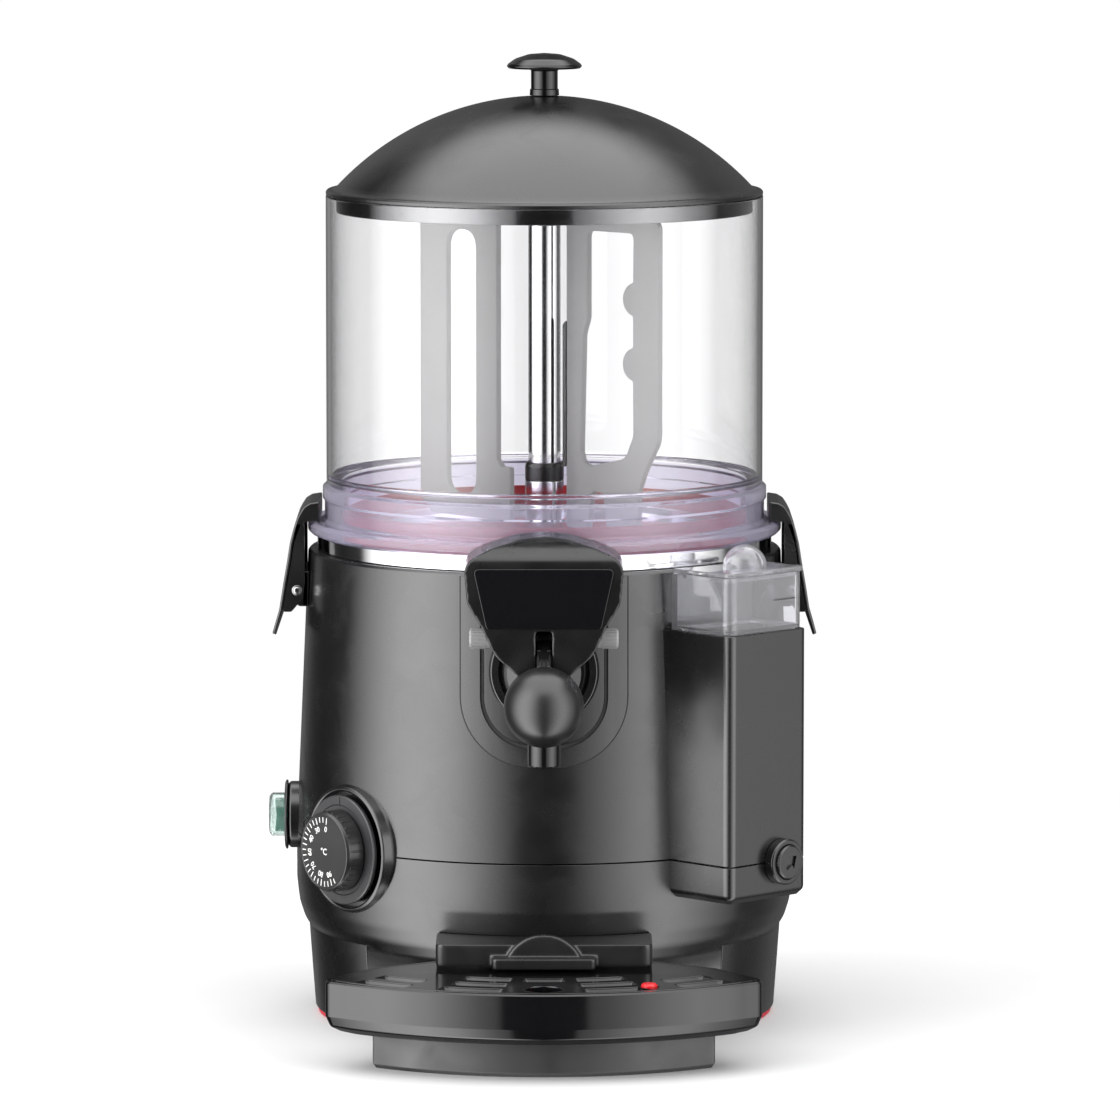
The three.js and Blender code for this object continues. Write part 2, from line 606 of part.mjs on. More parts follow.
add('tap_hood', 'black_plastic', (() => {
  const hollow = frontPrism(HOOD_CAVITY_FRONT, -210, -120)
    .intersect(sidePrism(HOOD_CAVITY_SIDE, -50, 50));
  const slot = box(-4.6, 4.6, -200, -170, 210, 246);
  const pinHole = rod(3.3, -60, 60, pinFrame);
  const barrel = rod(15.6, 140, 182, outletFrame, 24);
  return hoodOutside().subtract(union(hollow, slot, pinHole, barrel, faceSlab(BADGE, -8, 1.2)));
})());
add('tap_badge', 'gloss_black', faceSlab(scaled(BADGE, 0, 265, 0.992, 0.983), -0.8, 0.9));

add('tap_pin', 'white_plastic', (() => {
  const head = rod(5.5, 31, 43.2, pinFrame);
  const heads = head.add(mirroredX(head)).subtract(hoodOutside(1.015));
  return heads.add(rod(3, -42, 42, pinFrame));
})());

// The lever leaves the pivot towards the ball; two thin cheeks below it pull the plunger.
const leverReach = Math.hypot(BALL.y - TAP.pivotY, BALL.z - TAP.pivotZ);
const leverFrame = (() => {
  const out = new THREE.Vector3(0, BALL.y - TAP.pivotY, BALL.z - TAP.pivotZ).normalize();
  const side = new THREE.Vector3(1, 0, 0);
  const up = new THREE.Vector3().crossVectors(out, side);
  return new THREE.Matrix4().makeBasis(side, up, out).setPosition(0, TAP.pivotY, TAP.pivotZ);
})();

add('tap_lever', 'gloss_black', (() => {
  const hub = rod(6, -4, 4, pinFrame);
  const bar = moved(box(-4, 4, -3.6, 3.6, 0, 26), leverFrame);
  const stem = rod(4, 20, leverReach - 4, leverFrame);
  const cheeks = box(-4, 4, -185.5, -182.4, 216, 233).subtract(box(-1.9, 1.9, -190, -180, 210, 227));
  const barrel = rod(15.4, 140, 182, outletFrame, 24);
  return union(hub, bar, stem, cheeks).subtract(barrel).subtract(rod(3.3, -10, 10, pinFrame));
})());

add('tap_ball', 'black_plastic', (() => {
  const ball = turned([
    [0, -23], [8.8, -21.2], [16.3, -16.3], [21.2, -8.8], [23, 0], [21.2, 8.8], [16.3, 16.6],
    [8.8, 22], [0, 24],
  ].map(([r, z]) => [r, leverReach + z]), leverFrame, 20);
  return ball.subtract(rod(4.3, 10, leverReach - 3.4, leverFrame));
})());

add('tap_plunger', 'steel', (() => {
  const stem = turned([
    [0, 152.5], [5, 152.5], [5, 155.3], [3, 155.3], [3, 159], [9.8, 159], [9.8, 161], [3, 161],
    [3, 183], [0, 183],
  ], outletFrame, 16);
  const tang = box(-1.5, 1.5, -188, -181, TAP.z - 2.6, TAP.z + 2.6);
  const bar = box(-4, 4, -188.8, -186.4, TAP.z - 2.8, TAP.z + 2.8);
  return stem.intersect(box(-20, 20, -182, -150, 200, 240)).add(tang).add(bar);
})());
add('tap_seal', 'red_rubber', ring(3.3, 10.4, 155.6, 158.7, outletFrame));
add('tap_spring', 'steel', (() => {
  const turns = 3.5;
  const points = Array.from({ length: 36 }, (_, i) => {
    const turn = (i / 35) * turns * Math.PI * 2;
    return [7.6 * Math.cos(turn), -162.6 - (i / 35) * 13.6, TAP.z + 7.6 * Math.sin(turn)];
  });
  return pipe(points, 0.9, 30, 4);
})());

// ---- side tank ----------------------------------------------------------------------------------
const backCurve = (r) => rod(r, 60, 300, UPRIGHT, ROUND);

const GRIP = { x: 117.4, y: -120.2, r: 13 }; // hollow dome on the lid of the side tank

// The clear tank drops into the well and steps out over its rim, flush with the housing.
add('water_tank', 'clear_plastic', (() => {
  const { face, left, right, z0, z1, back } = SIDE_TANK;
  const step = 2.3;
  const stepZ = SIDE.z1 + GAP;
  const outside = union(
    sideBlock(110, face, left, right, z0, stepZ + 1, 4),
    sideBlock(110, face + step, left - step, right + step, stepZ, z1, 5),
  ).subtract(backCurve(back));
  const inside = union(
    sideBlock(110, face - 2.5, left + 2.5, right - 2.5, z0 + 2.5, stepZ + 5, 2.5),
    sideBlock(110, face, left, right, stepZ + 2.5, z1 + 9, 2.5),
  ).subtract(backCurve(back + 2.5));
  return outside.subtract(inside).subtract(rod(5.3, 140, 160, fillFrame))
    .subtract(rod(5, 180, 195, drainFrame));
})());

add('water_tank_lid', 'clear_plastic', (() => {
  const { face, left, right, z1, back } = SIDE_TANK;
  const plate = sideBlock(110, face + 3, left - 3, right + 3, z1 + GAP, z1 + 3, 5)
    .subtract(backCurve(back - 1));
  const rib = sideBlock(110, face - 0.5, left + 0.5, right - 0.5, z1 - 3, z1 + 1, 2)
    .subtract(sideBlock(100, face - 2.5, left + 2.5, right - 2.5, z1 - 5, z1 + 5, 2))
    .subtract(backCurve(back + 4));
  const grip = upright(GRIP.x, GRIP.y);
  const shell = turned([[0, z1 + 2], ...arc(0, z1 + 2.5, GRIP.r, 0, 90, 5)], grip, 20);
  const hollow = turned([[0, z1 - 5], [GRIP.r - 2, z1 - 5],
    ...arc(0, z1 + 2.5, GRIP.r - 2, 0, 90, 5)], grip, 20);
  return union(plate, rib, shell).subtract(hollow);
})());

add('fill_pipe', 'black_rubber', ring(3.6, 5, 121, 153.2, fillFrame));
add('drain_spigot', 'black_plastic', ring(5, 8, 188.3, 197.4, drainFrame));
add('drain_cap', 'black_plastic', (() => {
  const cap = turned([
    [8.4, 192.1], [13.5, 192.1], [13.5, 198.4], [10.2, 198.4], [10, 200.4], [0, 200.4],
    [0, 197.8], [8.4, 197.8],
  ], drainFrame, 16);
  const key = prism([[-5, -2], [0, -2], [0, -5], [6, 0], [0, 5], [0, 2], [-5, 2]], 199, 202);
  return cap.subtract(moved(key, drainFrame));
})());

// ---- drip tray ----------------------------------------------------------------------------------
const TRAY_BACK_Y = -143;
const DECK_FRONT_Y = -190.6; // behind this line the tray has a fixed deck, ahead of it the grille

// Outline seen from above: a front arc between two rounded corners, tapering to the back.
function trayOutline(inset) {
  const half = TRAY.half - inset;
  const r = TRAY.r - inset;
  const corner = 90 - THREE.MathUtils.radToDeg(Math.asin((half - 7) / r));
  const side = [
    [half - 2, -218.2 + inset], [half, -214], [half - 2.6, -206], [101 - inset, -171],
    [61 - inset * 0.6, TRAY_BACK_Y - inset],
  ];
  const mirrored = side.map(([x, y]) => [-x, y]).reverse();
  return [...arc(0, TRAY.centreY, r, -180 + corner, -corner, 14), ...side, ...mirrored];
}

function trayBase(inset) {
  const half = 99 - inset;
  return [
    ...arc(0, TRAY.centreY, TRAY.floorR - inset, -125.6, -54.4, 10),
    [half, -204], [half - 4, -186], [56 - inset, TRAY_BACK_Y - 5 - inset],
    [-56 + inset, TRAY_BACK_Y - 5 - inset], [-half + 4, -186], [-half, -204],
  ];
}

add('drip_tray', 'gloss_black', (() => {
  const outside = union(
    prism(trayBase(0), TRAY.z0, 20),
    prism(trayOutline(6), 16, 18.5),
    prism(trayOutline(3), 18.5, 21.5),
    prism(trayOutline(1), 21.5, 26),
    prism(trayOutline(0), 26, TRAY.z1),
  );
  const inside = union(
    prism(trayBase(3), TRAY.z0 + 3, 30),
    prism(trayOutline(8), 21.5, 60),
    prism(trayOutline(4), 43, 60),
  );
  const deck = prism(trayOutline(1), 43.4, TRAY.z1)
    .intersect(box(-200, 200, DECK_FRONT_Y, -100, 40, 50));
  return outside.subtract(inside).add(deck);
})());

const GRILLE = { z0: 43.4, z1: 46.9, rows: [179.5, 161, 142.5], slot: 12, eye: 12 };
const GRILLE_COLUMNS = [[-36, -25.5], [-19.2, -7.5], [-4.7, 4.7], [7.5, 19.2], [25.5, 36]];

function grilleSlot(r, from, to) {
  return prism([
    ...arc(0, TRAY.centreY, r + GRILLE.slot / 2, from - 90, to - 90, 2),
    ...arc(0, TRAY.centreY, r - GRILLE.slot / 2, to - 90, from - 90, 2),
  ], 40, 50);
}

const FLOAT = { x: 60.5, y: -236.3 };

add('drip_grille', 'gloss_black', (() => {
  const plate = prism(trayOutline(4.4), GRILLE.z0, GRILLE.z1)
    .intersect(box(-200, 200, -300, DECK_FRONT_Y - GAP, 40, 50));
  const slots = GRILLE.rows.flatMap((r, row) => GRILLE_COLUMNS
    .filter((column, i) => (row > 1 || i !== 2) && (row < 2 || Math.abs(i - 2) < 2))
    .map(([from, to]) => grilleSlot(r, from, to)));
  const drainEye = rod(GRILLE.eye, 30, 60, upright(0, TRAY.centreY - GRILLE.rows[0] + 6.5));
  const eye = rod(5.4, 30, 60, upright(FLOAT.x, FLOAT.y));
  const guide = rod(7.4, GRILLE.z0, GRILLE.z1, upright(FLOAT.x, FLOAT.y));
  return union(plate.subtract(union(...slots, drainEye)), guide).subtract(eye);
})());

add('tray_float', 'red_rubber', turned([
  [0, 21.9], [7.4, 21.9], [7.4, 32], [4.8, 33.4], [4.8, 48], [3.8, 49], [0, 49],
], upright(FLOAT.x, FLOAT.y)));

add('tray_bracket', 'black_plastic', (() => {
  const casing = revolve([
    [0, 30], ...LOWER_OUTER.slice(2).map(([r, z]) => [r + 0.4, z]), [0, 90],
  ], ROUND);
  const shelf = prism(roundedRectangle(-63, 63, -178, -120, 4), 48.6, 62);
  const tab = rod(24, 178, 183, outward(0, 44)).intersect(box(-40, 40, -200, -170, 48.6, 90));
  const step = box(-30, 30, -189, -177, 48.6, 55);
  return union(shelf.add(box(-63, 63, -160, -120, 48.6, 62)), tab, step).subtract(casing);
})());

// ---- lid ----------------------------------------------------------------------------------------
const domeRadius = (LID.base ** 2 + LID.rise ** 2) / (2 * LID.rise);
const domeCentre = LID.z + LID.rise - domeRadius;

function dome(r, edge, steps) {
  const last = Math.asin(edge / r);
  return Array.from({ length: steps + 1 }, (_, i) => [
    r * Math.sin((last * i) / steps), domeCentre + r * Math.cos((last * i) / steps),
  ]);
}

add('lid', 'black_plastic', revolve([
  ...dome(domeRadius, LID.base, 6),
  [LID.rim, 489], [LID.rim, 485.8], [122.2, 485.8],
  ...dome(domeRadius - LID.wall, 121.6, 4).reverse(),
]));
add('lid_skirt', 'steel', revolve([[122.4, 476], [124.2, 476], [124.2, 485.5], [122.4, 485.5]]));
add('lid_knob', 'gloss_black', revolve([
  [0, 545.1], [8.6, 545.1], [8, 547], [8, 560], [9.5, LID_KNOB.underside], [21.8, LID_KNOB.underside],
  [22.5, 562.4], [17, 566.4], [9, 569.2], [0, LID_KNOB.top],
], 24));

// ---- motor bracket ------------------------------------------------------------------------------
add('motor_bracket', 'steel', prism(roundedRectangle(-150, 150, -30, 50, 2), 112.3, 114.5)
  .intersect(rod(144.6, 100, 120, UPRIGHT, ROUND)).subtract(rod(13.4, 100, 120, UPRIGHT)));

// ---- the whole object, centred over its base ----------------------------------------------------
const bounds = new THREE.Box3().setFromObject(group);
const middle = bounds.getCenter(new THREE.Vector3());
group.position.set(-middle.x, -middle.y, -bounds.min.z);
group.updateMatrixWorld(true);

export default group;
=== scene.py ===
"""The looks of a ten-litre hot drink dispenser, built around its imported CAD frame.

Shapes are written in millimetres about the vertical axis of the body, with the front towards -Y.
"""

import json
import math

import bmesh
import bpy
from mathutils import Matrix, Vector

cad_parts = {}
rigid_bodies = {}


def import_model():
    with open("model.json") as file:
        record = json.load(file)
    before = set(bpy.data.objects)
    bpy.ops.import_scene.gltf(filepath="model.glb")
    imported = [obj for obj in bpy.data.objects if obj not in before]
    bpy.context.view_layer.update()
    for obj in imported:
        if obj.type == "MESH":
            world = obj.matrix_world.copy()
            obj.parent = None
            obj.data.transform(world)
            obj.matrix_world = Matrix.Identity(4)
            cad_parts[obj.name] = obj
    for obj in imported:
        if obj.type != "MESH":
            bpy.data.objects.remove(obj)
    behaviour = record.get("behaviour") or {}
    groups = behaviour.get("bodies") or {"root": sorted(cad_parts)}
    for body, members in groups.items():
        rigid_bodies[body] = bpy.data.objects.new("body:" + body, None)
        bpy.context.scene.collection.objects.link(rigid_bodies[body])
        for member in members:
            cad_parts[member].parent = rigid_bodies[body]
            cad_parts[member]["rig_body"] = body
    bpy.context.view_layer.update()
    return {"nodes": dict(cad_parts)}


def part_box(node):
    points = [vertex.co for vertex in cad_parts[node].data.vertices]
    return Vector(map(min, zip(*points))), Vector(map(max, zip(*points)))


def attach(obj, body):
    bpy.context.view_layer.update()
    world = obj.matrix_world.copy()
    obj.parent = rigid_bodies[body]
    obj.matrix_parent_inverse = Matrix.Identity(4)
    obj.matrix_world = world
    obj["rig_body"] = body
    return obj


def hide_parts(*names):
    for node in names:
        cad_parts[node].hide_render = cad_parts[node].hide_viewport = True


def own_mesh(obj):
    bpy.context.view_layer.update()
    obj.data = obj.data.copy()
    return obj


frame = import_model()
LID_LOW, LID_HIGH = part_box("lid")
LID_BOTTOM_Z = 485.8  # height of the CAD lid's lowest edge
FLOOR_Z = -5.5
AXIS = Vector((
    (LID_LOW.x + LID_HIGH.x) / 2, (LID_LOW.y + LID_HIGH.y) / 2, LID_LOW.z - LID_BOTTOM_Z / 1000))
TO_METRES = Matrix.Translation(AXIS) @ Matrix.Scale(0.001, 4)

# ---- driving dimensions ----
SEAM_Z = 104  # where the two shells of the casing meet
SEAM_GAP = 0.3
CASE_R = 149  # the casing's radius at the seam
CASE_DRAW_IN = 7.4  # how much smaller it gets over CASE_DRAW_HEIGHT
CASE_DRAW_HEIGHT = 168.5
LEG_ANGLES = (-69, 69, -128, 128)
LEG_HALF_ANGLE = 21
LEG_BOTTOM_Z = -2.5
GLAND_Z = 84
BOWL_FOOT_Z = 313.5  # the bowl's moulding is tinted below this height
LID_BASE_R = 124.5  # the dome springs from this radius and height
LID_BASE_Z = 490
LID_RISE = 54.5
STIRRER_TURN = 44
LATCH_HALF = 28
LATCH_PIN_X, LATCH_PIN_Z = 147.6, 251
DIAL_ANGLE = -51
DIAL_Z = 105
DIAL_FACE = 166.9  # the knob's front, along DIAL
SCALE_START = -8  # angle of the scale's first mark
SWITCH_Z = 112
TAP_Z = 218
PIN_Y, PIN_Z = -172, 240
BALL_Y, BALL_Z = -216, 206
BALL_R = 23
BALL_FRONT = 24  # the ball's longer outer half
HOOD_SLOPE = 0.119
BADGE_Z = 265
SPRING_TURNS = 3.5
SPRING_R = 7.6
SPRING_START, SPRING_LENGTH = 162.6, 13.6
SIDE_ANGLE = 45  # the side tank's direction
FILL_Z = 165
LEVEL_Z = 258
GRIP_X, GRIP_Y, GRIP_Z = 117.4, -120.2, 276
TRAY_CENTRE_Y = -71
TRAY_R = 192
TRAY_HALF = 127
DECK_Y = -190.6
GRILLE_HALF = 109.4
GRILLE_ROWS = (179.5, 161, 142.5)  # radii of the rows of slots
GRILLE_COLUMNS = [(-36, -25.5), (-19.2, -7.5), (-4.7, 4.7), (7.5, 19.2), (25.5, 36)]
FLOAT_X, FLOAT_Y = 60.5, -236.3
EYE_Y = -244

# Steps round a turned piece.
LARGE = 192
MEDIUM = 96
SMALL = 48


# ---- frames ----
def basis(x, y, z, origin=(0, 0, 0)):
    turn = Matrix((Vector(x), Vector(y), Vector(z))).transposed().to_4x4()
    return Matrix.Translation(Vector(origin)) @ turn


def about_z(degrees):
    return Matrix.Rotation(math.radians(degrees), 4, "Z")


def outward(degrees, z, aside=0.0):
    """+Z points away from the body axis, `degrees` right of the front."""
    turn = math.radians(degrees)
    out = Vector((math.sin(turn), -math.cos(turn), 0))
    up = Vector((0, 0, 1))
    side = up.cross(out)
    return basis(side, up, out, side * aside + up * z)


# Planes for outlines: FRONT and SEEN_FRONT have x to the right and y up, with z towards the front
# and towards the back; SIDEWAYS has x towards the back, y up and z to the right.
UPRIGHT = Matrix.Identity(4)
FRONT = basis((1, 0, 0), (0, 0, 1), (0, -1, 0))
SIDEWAYS = basis((0, 1, 0), (0, 0, 1), (1, 0, 0))
SEEN_FRONT = basis((1, 0, 0), (0, 0, 1), (0, 1, 0))
SIDE_TURN = about_z(SIDE_ANGLE - 90)
DIAL = outward(DIAL_ANGLE, DIAL_Z)
SWITCH = outward(-90, SWITCH_Z)
OUTLET = outward(0, TAP_Z)
DRAIN = outward(SIDE_ANGLE, SEAM_Z, 3.6)
FILL = outward(SIDE_ANGLE, FILL_Z)
PIN = outward(90, PIN_Z, PIN_Y)


def at(x, y, z=0):
    return Matrix.Translation((x, y, z))


# ---- outlines ----
def arc(cx, cy, r, start, end, steps):
    turns = [math.radians(start + (end - start) * i / steps) for i in range(steps + 1)]
    return [(cx + r * math.cos(t), cy + r * math.sin(t)) for t in turns]


def soften(points, radius, closed=True, steps=4):
    """Round the corners of a flat outline; a point's third value is a radius of its own."""
    made = []
    count = len(points)
    for i, point in enumerate(points):
        corner = Vector(point[:2])
        r = point[2] if len(point) > 2 else radius
        if r <= 0 or (not closed and i in (0, count - 1)):
            made.append(tuple(corner))
            continue
        back = Vector(points[i - 1][:2]) - corner
        ahead = Vector(points[(i + 1) % count][:2]) - corner
        angle = back.angle(ahead)
        if angle > math.radians(179.7):
            made.append(tuple(corner))
            continue
        reach = min(r / math.tan(angle / 2), back.length * 0.48, ahead.length * 0.48)
        start = corner + back.normalized() * reach
        end = corner + ahead.normalized() * reach
        for k in range(steps + 1):
            t = k / steps
            made.append(tuple(start * (1 - t) ** 2 + corner * 2 * t * (1 - t) + end * t * t))
    return made


def rectangle(x0, x1, y0, y1):
    return [(x0, y0), (x1, y0), (x1, y1), (x0, y1)]


def mirrored(points):
    return [(-x, *rest) for x, *rest in reversed(points)]


# ---- mesh makers ----
def bridge(bm, low, high):
    if len(low) == 1 and len(high) == 1:
        return
    count = max(len(low), len(high))
    for i in range(count):
        j = (i + 1) % count
        if len(low) == 1:
            bm.faces.new((low[0], high[j], high[i]))
        elif len(high) == 1:
            bm.faces.new((low[i], low[j], high[0]))
        else:
            bm.faces.new((low[i], low[j], high[j], high[i]))


def loft(rings, closed=False, caps=True):
    """Join rings of points into one skin; a ring of one point is a pole."""
    bm = bmesh.new()
    made = [[bm.verts.new(p) for p in ring] for ring in rings]
    pairs = list(zip(made, made[1:]))
    if closed:
        pairs.append((made[-1], made[0]))
    for low, high in pairs:
        bridge(bm, low, high)
    if caps and not closed:
        for ring in (made[0], made[-1]):
            if len(ring) > 2:
                bm.faces.new(ring)
    return bm


def circle(r, z, segments):
    if r < 1e-4:
        return [(0, 0, z)]
    turns = [2 * math.pi * i / segments for i in range(segments)]
    return [(r * math.cos(t), r * math.sin(t), z) for t in turns]


def revolve(profile, segments=LARGE, edge=0.4, steps=3):
    """Turn a [radius, height] profile about Z; one that ends off the axis closes on itself."""
    on_axis = profile[0][0] < 1e-4
    smooth = soften(profile, edge, closed=not on_axis, steps=steps)
    rings = [circle(r, z, segments) for r, z in smooth]
    return loft(rings, closed=not on_axis)


def sweep(outline, profile, edge=0.4, closed=False, steps=3):
    """Carry outline(inset) along a profile of [inset, height]."""
    smooth = soften(profile, edge, closed=closed, steps=steps)
    return loft([[(x, y, z) for x, y in outline(inset)] for inset, z in smooth], closed=closed)


def arc_sweep(section, start, end, steps):
    """Carry a closed [radius, height] section round the axis between two angles."""
    rings = []
    for i in range(steps + 1):
        turn = math.radians(start + (end - start) * i / steps)
        rings.append([(r * math.sin(turn), -r * math.cos(turn), z) for r, z in section])
    return loft(rings)


def curve_mesh(curve):
    """Turn a curve into a mesh and remove the curve."""
    holder = bpy.data.objects.new(curve.name, curve)
    mesh = bpy.data.meshes.new_from_object(holder)
    bm = bmesh.new()
    bm.from_mesh(mesh)
    bpy.data.objects.remove(holder)
    bpy.data.meshes.remove(mesh)
    bpy.data.curves.remove(curve)
    return bm


def plate(outlines, z0, z1, edge=0.5):
    """A slab with rounded edges; outlines after the first are holes."""
    curve = bpy.data.curves.new("outline", "CURVE")
    curve.dimensions = "2D"
    curve.fill_mode = "BOTH"
    curve.extrude = (z1 - z0) / 2 - edge
    curve.bevel_depth = edge
    curve.bevel_resolution = 2
    curve.offset = -edge
    for outline in outlines:
        spline = curve.splines.new("POLY")
        spline.points.add(len(outline) - 1)
        for point, (x, y) in zip(spline.points, outline):
            point.co = (x, y, 0, 1)
        spline.use_cyclic_u = True
    bm = curve_mesh(curve)
    bmesh.ops.remove_doubles(bm, verts=bm.verts, dist=0.002)
    return turned_by(bm, at(0, 0, (z0 + z1) / 2))


def slab(outline, z0, z1, place=UPRIGHT):
    return turned_by(loft([[(x, y, z) for x, y in outline] for z in (z0, z1)]), place)


def turned_by(bm, place):
    bm.transform(place)
    return bm


def joined(*parts):
    """Put several skins into one mesh."""
    whole = parts[0]
    for part in parts[1:]:
        mesh = bpy.data.meshes.new("part")
        part.to_mesh(mesh)
        whole.from_mesh(mesh)
        part.free()
        bpy.data.meshes.remove(mesh)
    return whole


def new_object(name, bm):
    """Put a mesh into the scene."""
    mesh = bpy.data.meshes.new(name)
    bm.to_mesh(mesh)
    bm.free()
    made = bpy.data.objects.new(name, mesh)
    bpy.context.scene.collection.objects.link(made)
    return made


def solid(name, bm):
    bmesh.ops.recalc_face_normals(bm, faces=bm.faces)
    return new_object(name, bm)


def carved(base, steps, voxel=0.0, passes=0):
    """Cut, cross or join solids with a base, then optionally melt the edges together."""
    body = solid("helper", base)
    tools = []
    for operation, tool in steps:
        tools.append(solid("helper", tool))
        modifier = body.modifiers.new("carve", "BOOLEAN")
        modifier.operation = operation
        modifier.solver = "EXACT"
        modifier.object = tools[-1]
    if voxel:
        remesh = body.modifiers.new("melt", "REMESH")
        remesh.mode = "VOXEL"
        remesh.voxel_size = voxel
        smooth = body.modifiers.new("smooth", "SMOOTH")
        smooth.iterations = passes
        smooth.factor = 0.5
    bpy.context.view_layer.update()
    graph = bpy.context.evaluated_depsgraph_get()
    mesh = bpy.data.meshes.new_from_object(body.evaluated_get(graph))
    bm = bmesh.new()
    bm.from_mesh(mesh)
    for thing in [body, *tools]:
        bpy.data.meshes.remove(thing.data)
    bpy.data.meshes.remove(mesh)
    return bm


def tube(points, r):
    """A round bar along a smooth path."""
    curve = bpy.data.curves.new("path", "CURVE")
    curve.dimensions = "3D"
    curve.bevel_depth = r
    curve.bevel_resolution = 2
    curve.use_fill_caps = True
    curve.resolution_u = 8
    spline = curve.splines.new("NURBS")
    spline.points.add(len(points) - 1)
    for point, p in zip(spline.points, points):
        point.co = (*p, 1)
    spline.use_endpoint_u = True
    spline.order_u = 3
    return curve_mesh(curve)


# ---- materials ----
def node(tree, kind, sockets=None, **settings):
    made = tree.nodes.new("ShaderNode" + kind)
    for key, value in settings.items():
        setattr(made, key, value)
    for key, value in (sockets or {}).items():
        if isinstance(value, bpy.types.NodeSocket):
            tree.links.new(value, made.inputs[key])
        else:
            made.inputs[key].default_value = value
    return made


def maths(tree, operation, first, second):
    return node(tree, "Math", {0: first, 1: second}, operation=operation).outputs[0]


def map_range(tree, value, start, end, low=0.0, high=1.0, **settings):
    made = node(tree, "MapRange", {
        "Value": value, "From Min": start, "From Max": end, "To Min": low, "To Max": high},
        **settings)
    return made.outputs["Result"]


def bumped(tree, shader, height, strength, distance=0.0001):
    made = node(tree, "Bump", {"Strength": strength, "Distance": distance, "Height": height})
    tree.links.new(made.outputs["Normal"], shader.inputs["Normal"])


def new_material(name, fixed):
    """A Principled material whose even numbers sit on the shader's own sockets."""
    material = bpy.data.materials.new(name)
    material.use_nodes = True
    tree = material.node_tree
    shader = tree.nodes["Principled BSDF"]
    for key, value in fixed.items():
        shader.inputs[key].default_value = value
    return material, tree, shader


def spread(tree, value, low, high):
    """Map a 0.3 to 0.7 noise value onto a range."""
    return map_range(tree, value, 0.3, 0.7, low, high)


def noise(tree, scale, detail=2.0, stretch=None, distortion=0.0):
    coords = node(tree, "TexCoord").outputs["Object"]
    if stretch:
        coords = node(tree, "Mapping", {
            "Vector": coords, "Scale": stretch}).outputs["Vector"]
    made = node(tree, "TexNoise", {
        "Vector": coords, "Scale": scale, "Detail": detail, "Distortion": distortion})
    return made.outputs["Fac"]


def mix_colour(tree, factor, first, second):
    made = node(tree, "Mix", data_type="RGBA")
    tree.links.new(factor, made.inputs["Factor"])
    for key, value in ((6, first), (7, second)):
        if isinstance(value, bpy.types.NodeSocket):
            tree.links.new(value, made.inputs[key])
        else:
            made.inputs[key].default_value = (*value, 1)
    return made.outputs[2]


def edge_mask(tree, strength):
    """Bright where the surface turns sharply outwards, as a worn edge does."""
    pointy = node(tree, "NewGeometry").outputs["Pointiness"]
    return map_range(tree, pointy, 0.52, 0.62, 0.0, strength)


def shade(colour, factor):
    return tuple(min(1.0, c * factor) for c in colour)


def moulded(name, colour, roughness, fixed=None, grain=0.12, grain_scale=1400, vary=0.14, wear=0.25,
            rough_vary=0.16):
    """Moulded plastic or rubber: cloudy colour, fine grain, slightly polished and paler edges."""
    material, tree, shader = new_material(name, {"Specular IOR Level": 0.5, **(fixed or {})})
    cloud = noise(tree, 16, 4)
    mottle = noise(tree, 190, 3)
    half = maths(tree, "MULTIPLY", maths(tree, "ADD", cloud, mottle), 0.5)
    dim, bright = shade(colour, 1 - vary), shade(colour, 1 + vary)
    body = mix_colour(tree, spread(tree, half, 0, 1), dim, bright)
    pale = tuple(c + (0.12 - c) * 0.35 if c < 0.12 else c for c in colour)
    worn = mix_colour(tree, edge_mask(tree, wear), body, pale)
    tree.links.new(worn, shader.inputs["Base Color"])
    smudge = noise(tree, 38, 5, distortion=0.6)
    rough = spread(tree, smudge, roughness * (1 - rough_vary), roughness * (1 + rough_vary))
    tree.links.new(rough, shader.inputs["Roughness"])
    bumped(tree, shader, noise(tree, grain_scale, 3), grain)
    return material


def metal(name, colour, roughness, lines=(6, 6, 900), bump=0.04):
    """Turned or rolled metal: fine lines in one direction and a slow change of polish."""
    material, tree, shader = new_material(name, {"Metallic": 1.0})
    streak = noise(tree, 1, 3, stretch=lines)
    slow = noise(tree, 22, 4)
    tint = mix_colour(tree, spread(tree, slow, 0, 1), shade(colour, 0.93), shade(colour, 1.03))
    tree.links.new(tint, shader.inputs["Base Color"])
    both = maths(tree, "MULTIPLY", streak, slow)
    rough = map_range(tree, both, 0.12, 0.42, roughness * 0.7, roughness * 1.4)
    tree.links.new(rough, shader.inputs["Roughness"])
    bumped(tree, shader, streak, bump)
    return material


def clear(name, tint, haze=0.0, ripple=0.02):
    """Clear moulded plastic, a little wavy; haze is the share of light it scatters."""
    material, tree, shader = new_material(name, {
        "Transmission Weight": 1.0 - haze, "IOR": 1.49, "Roughness": 0.0})
    cloud = spread(tree, noise(tree, 30, 3), 0, 1)
    tree.links.new(mix_colour(tree, cloud, shade(tint, 0.992), tint), shader.inputs["Base Color"])
    handled = map_range(tree, noise(tree, 60, 5), 0.62, 0.8, 0.0, 0.03)
    tree.links.new(handled, shader.inputs["Roughness"])
    bumped(tree, shader, noise(tree, 14, 1), ripple, 0.001)
    return material


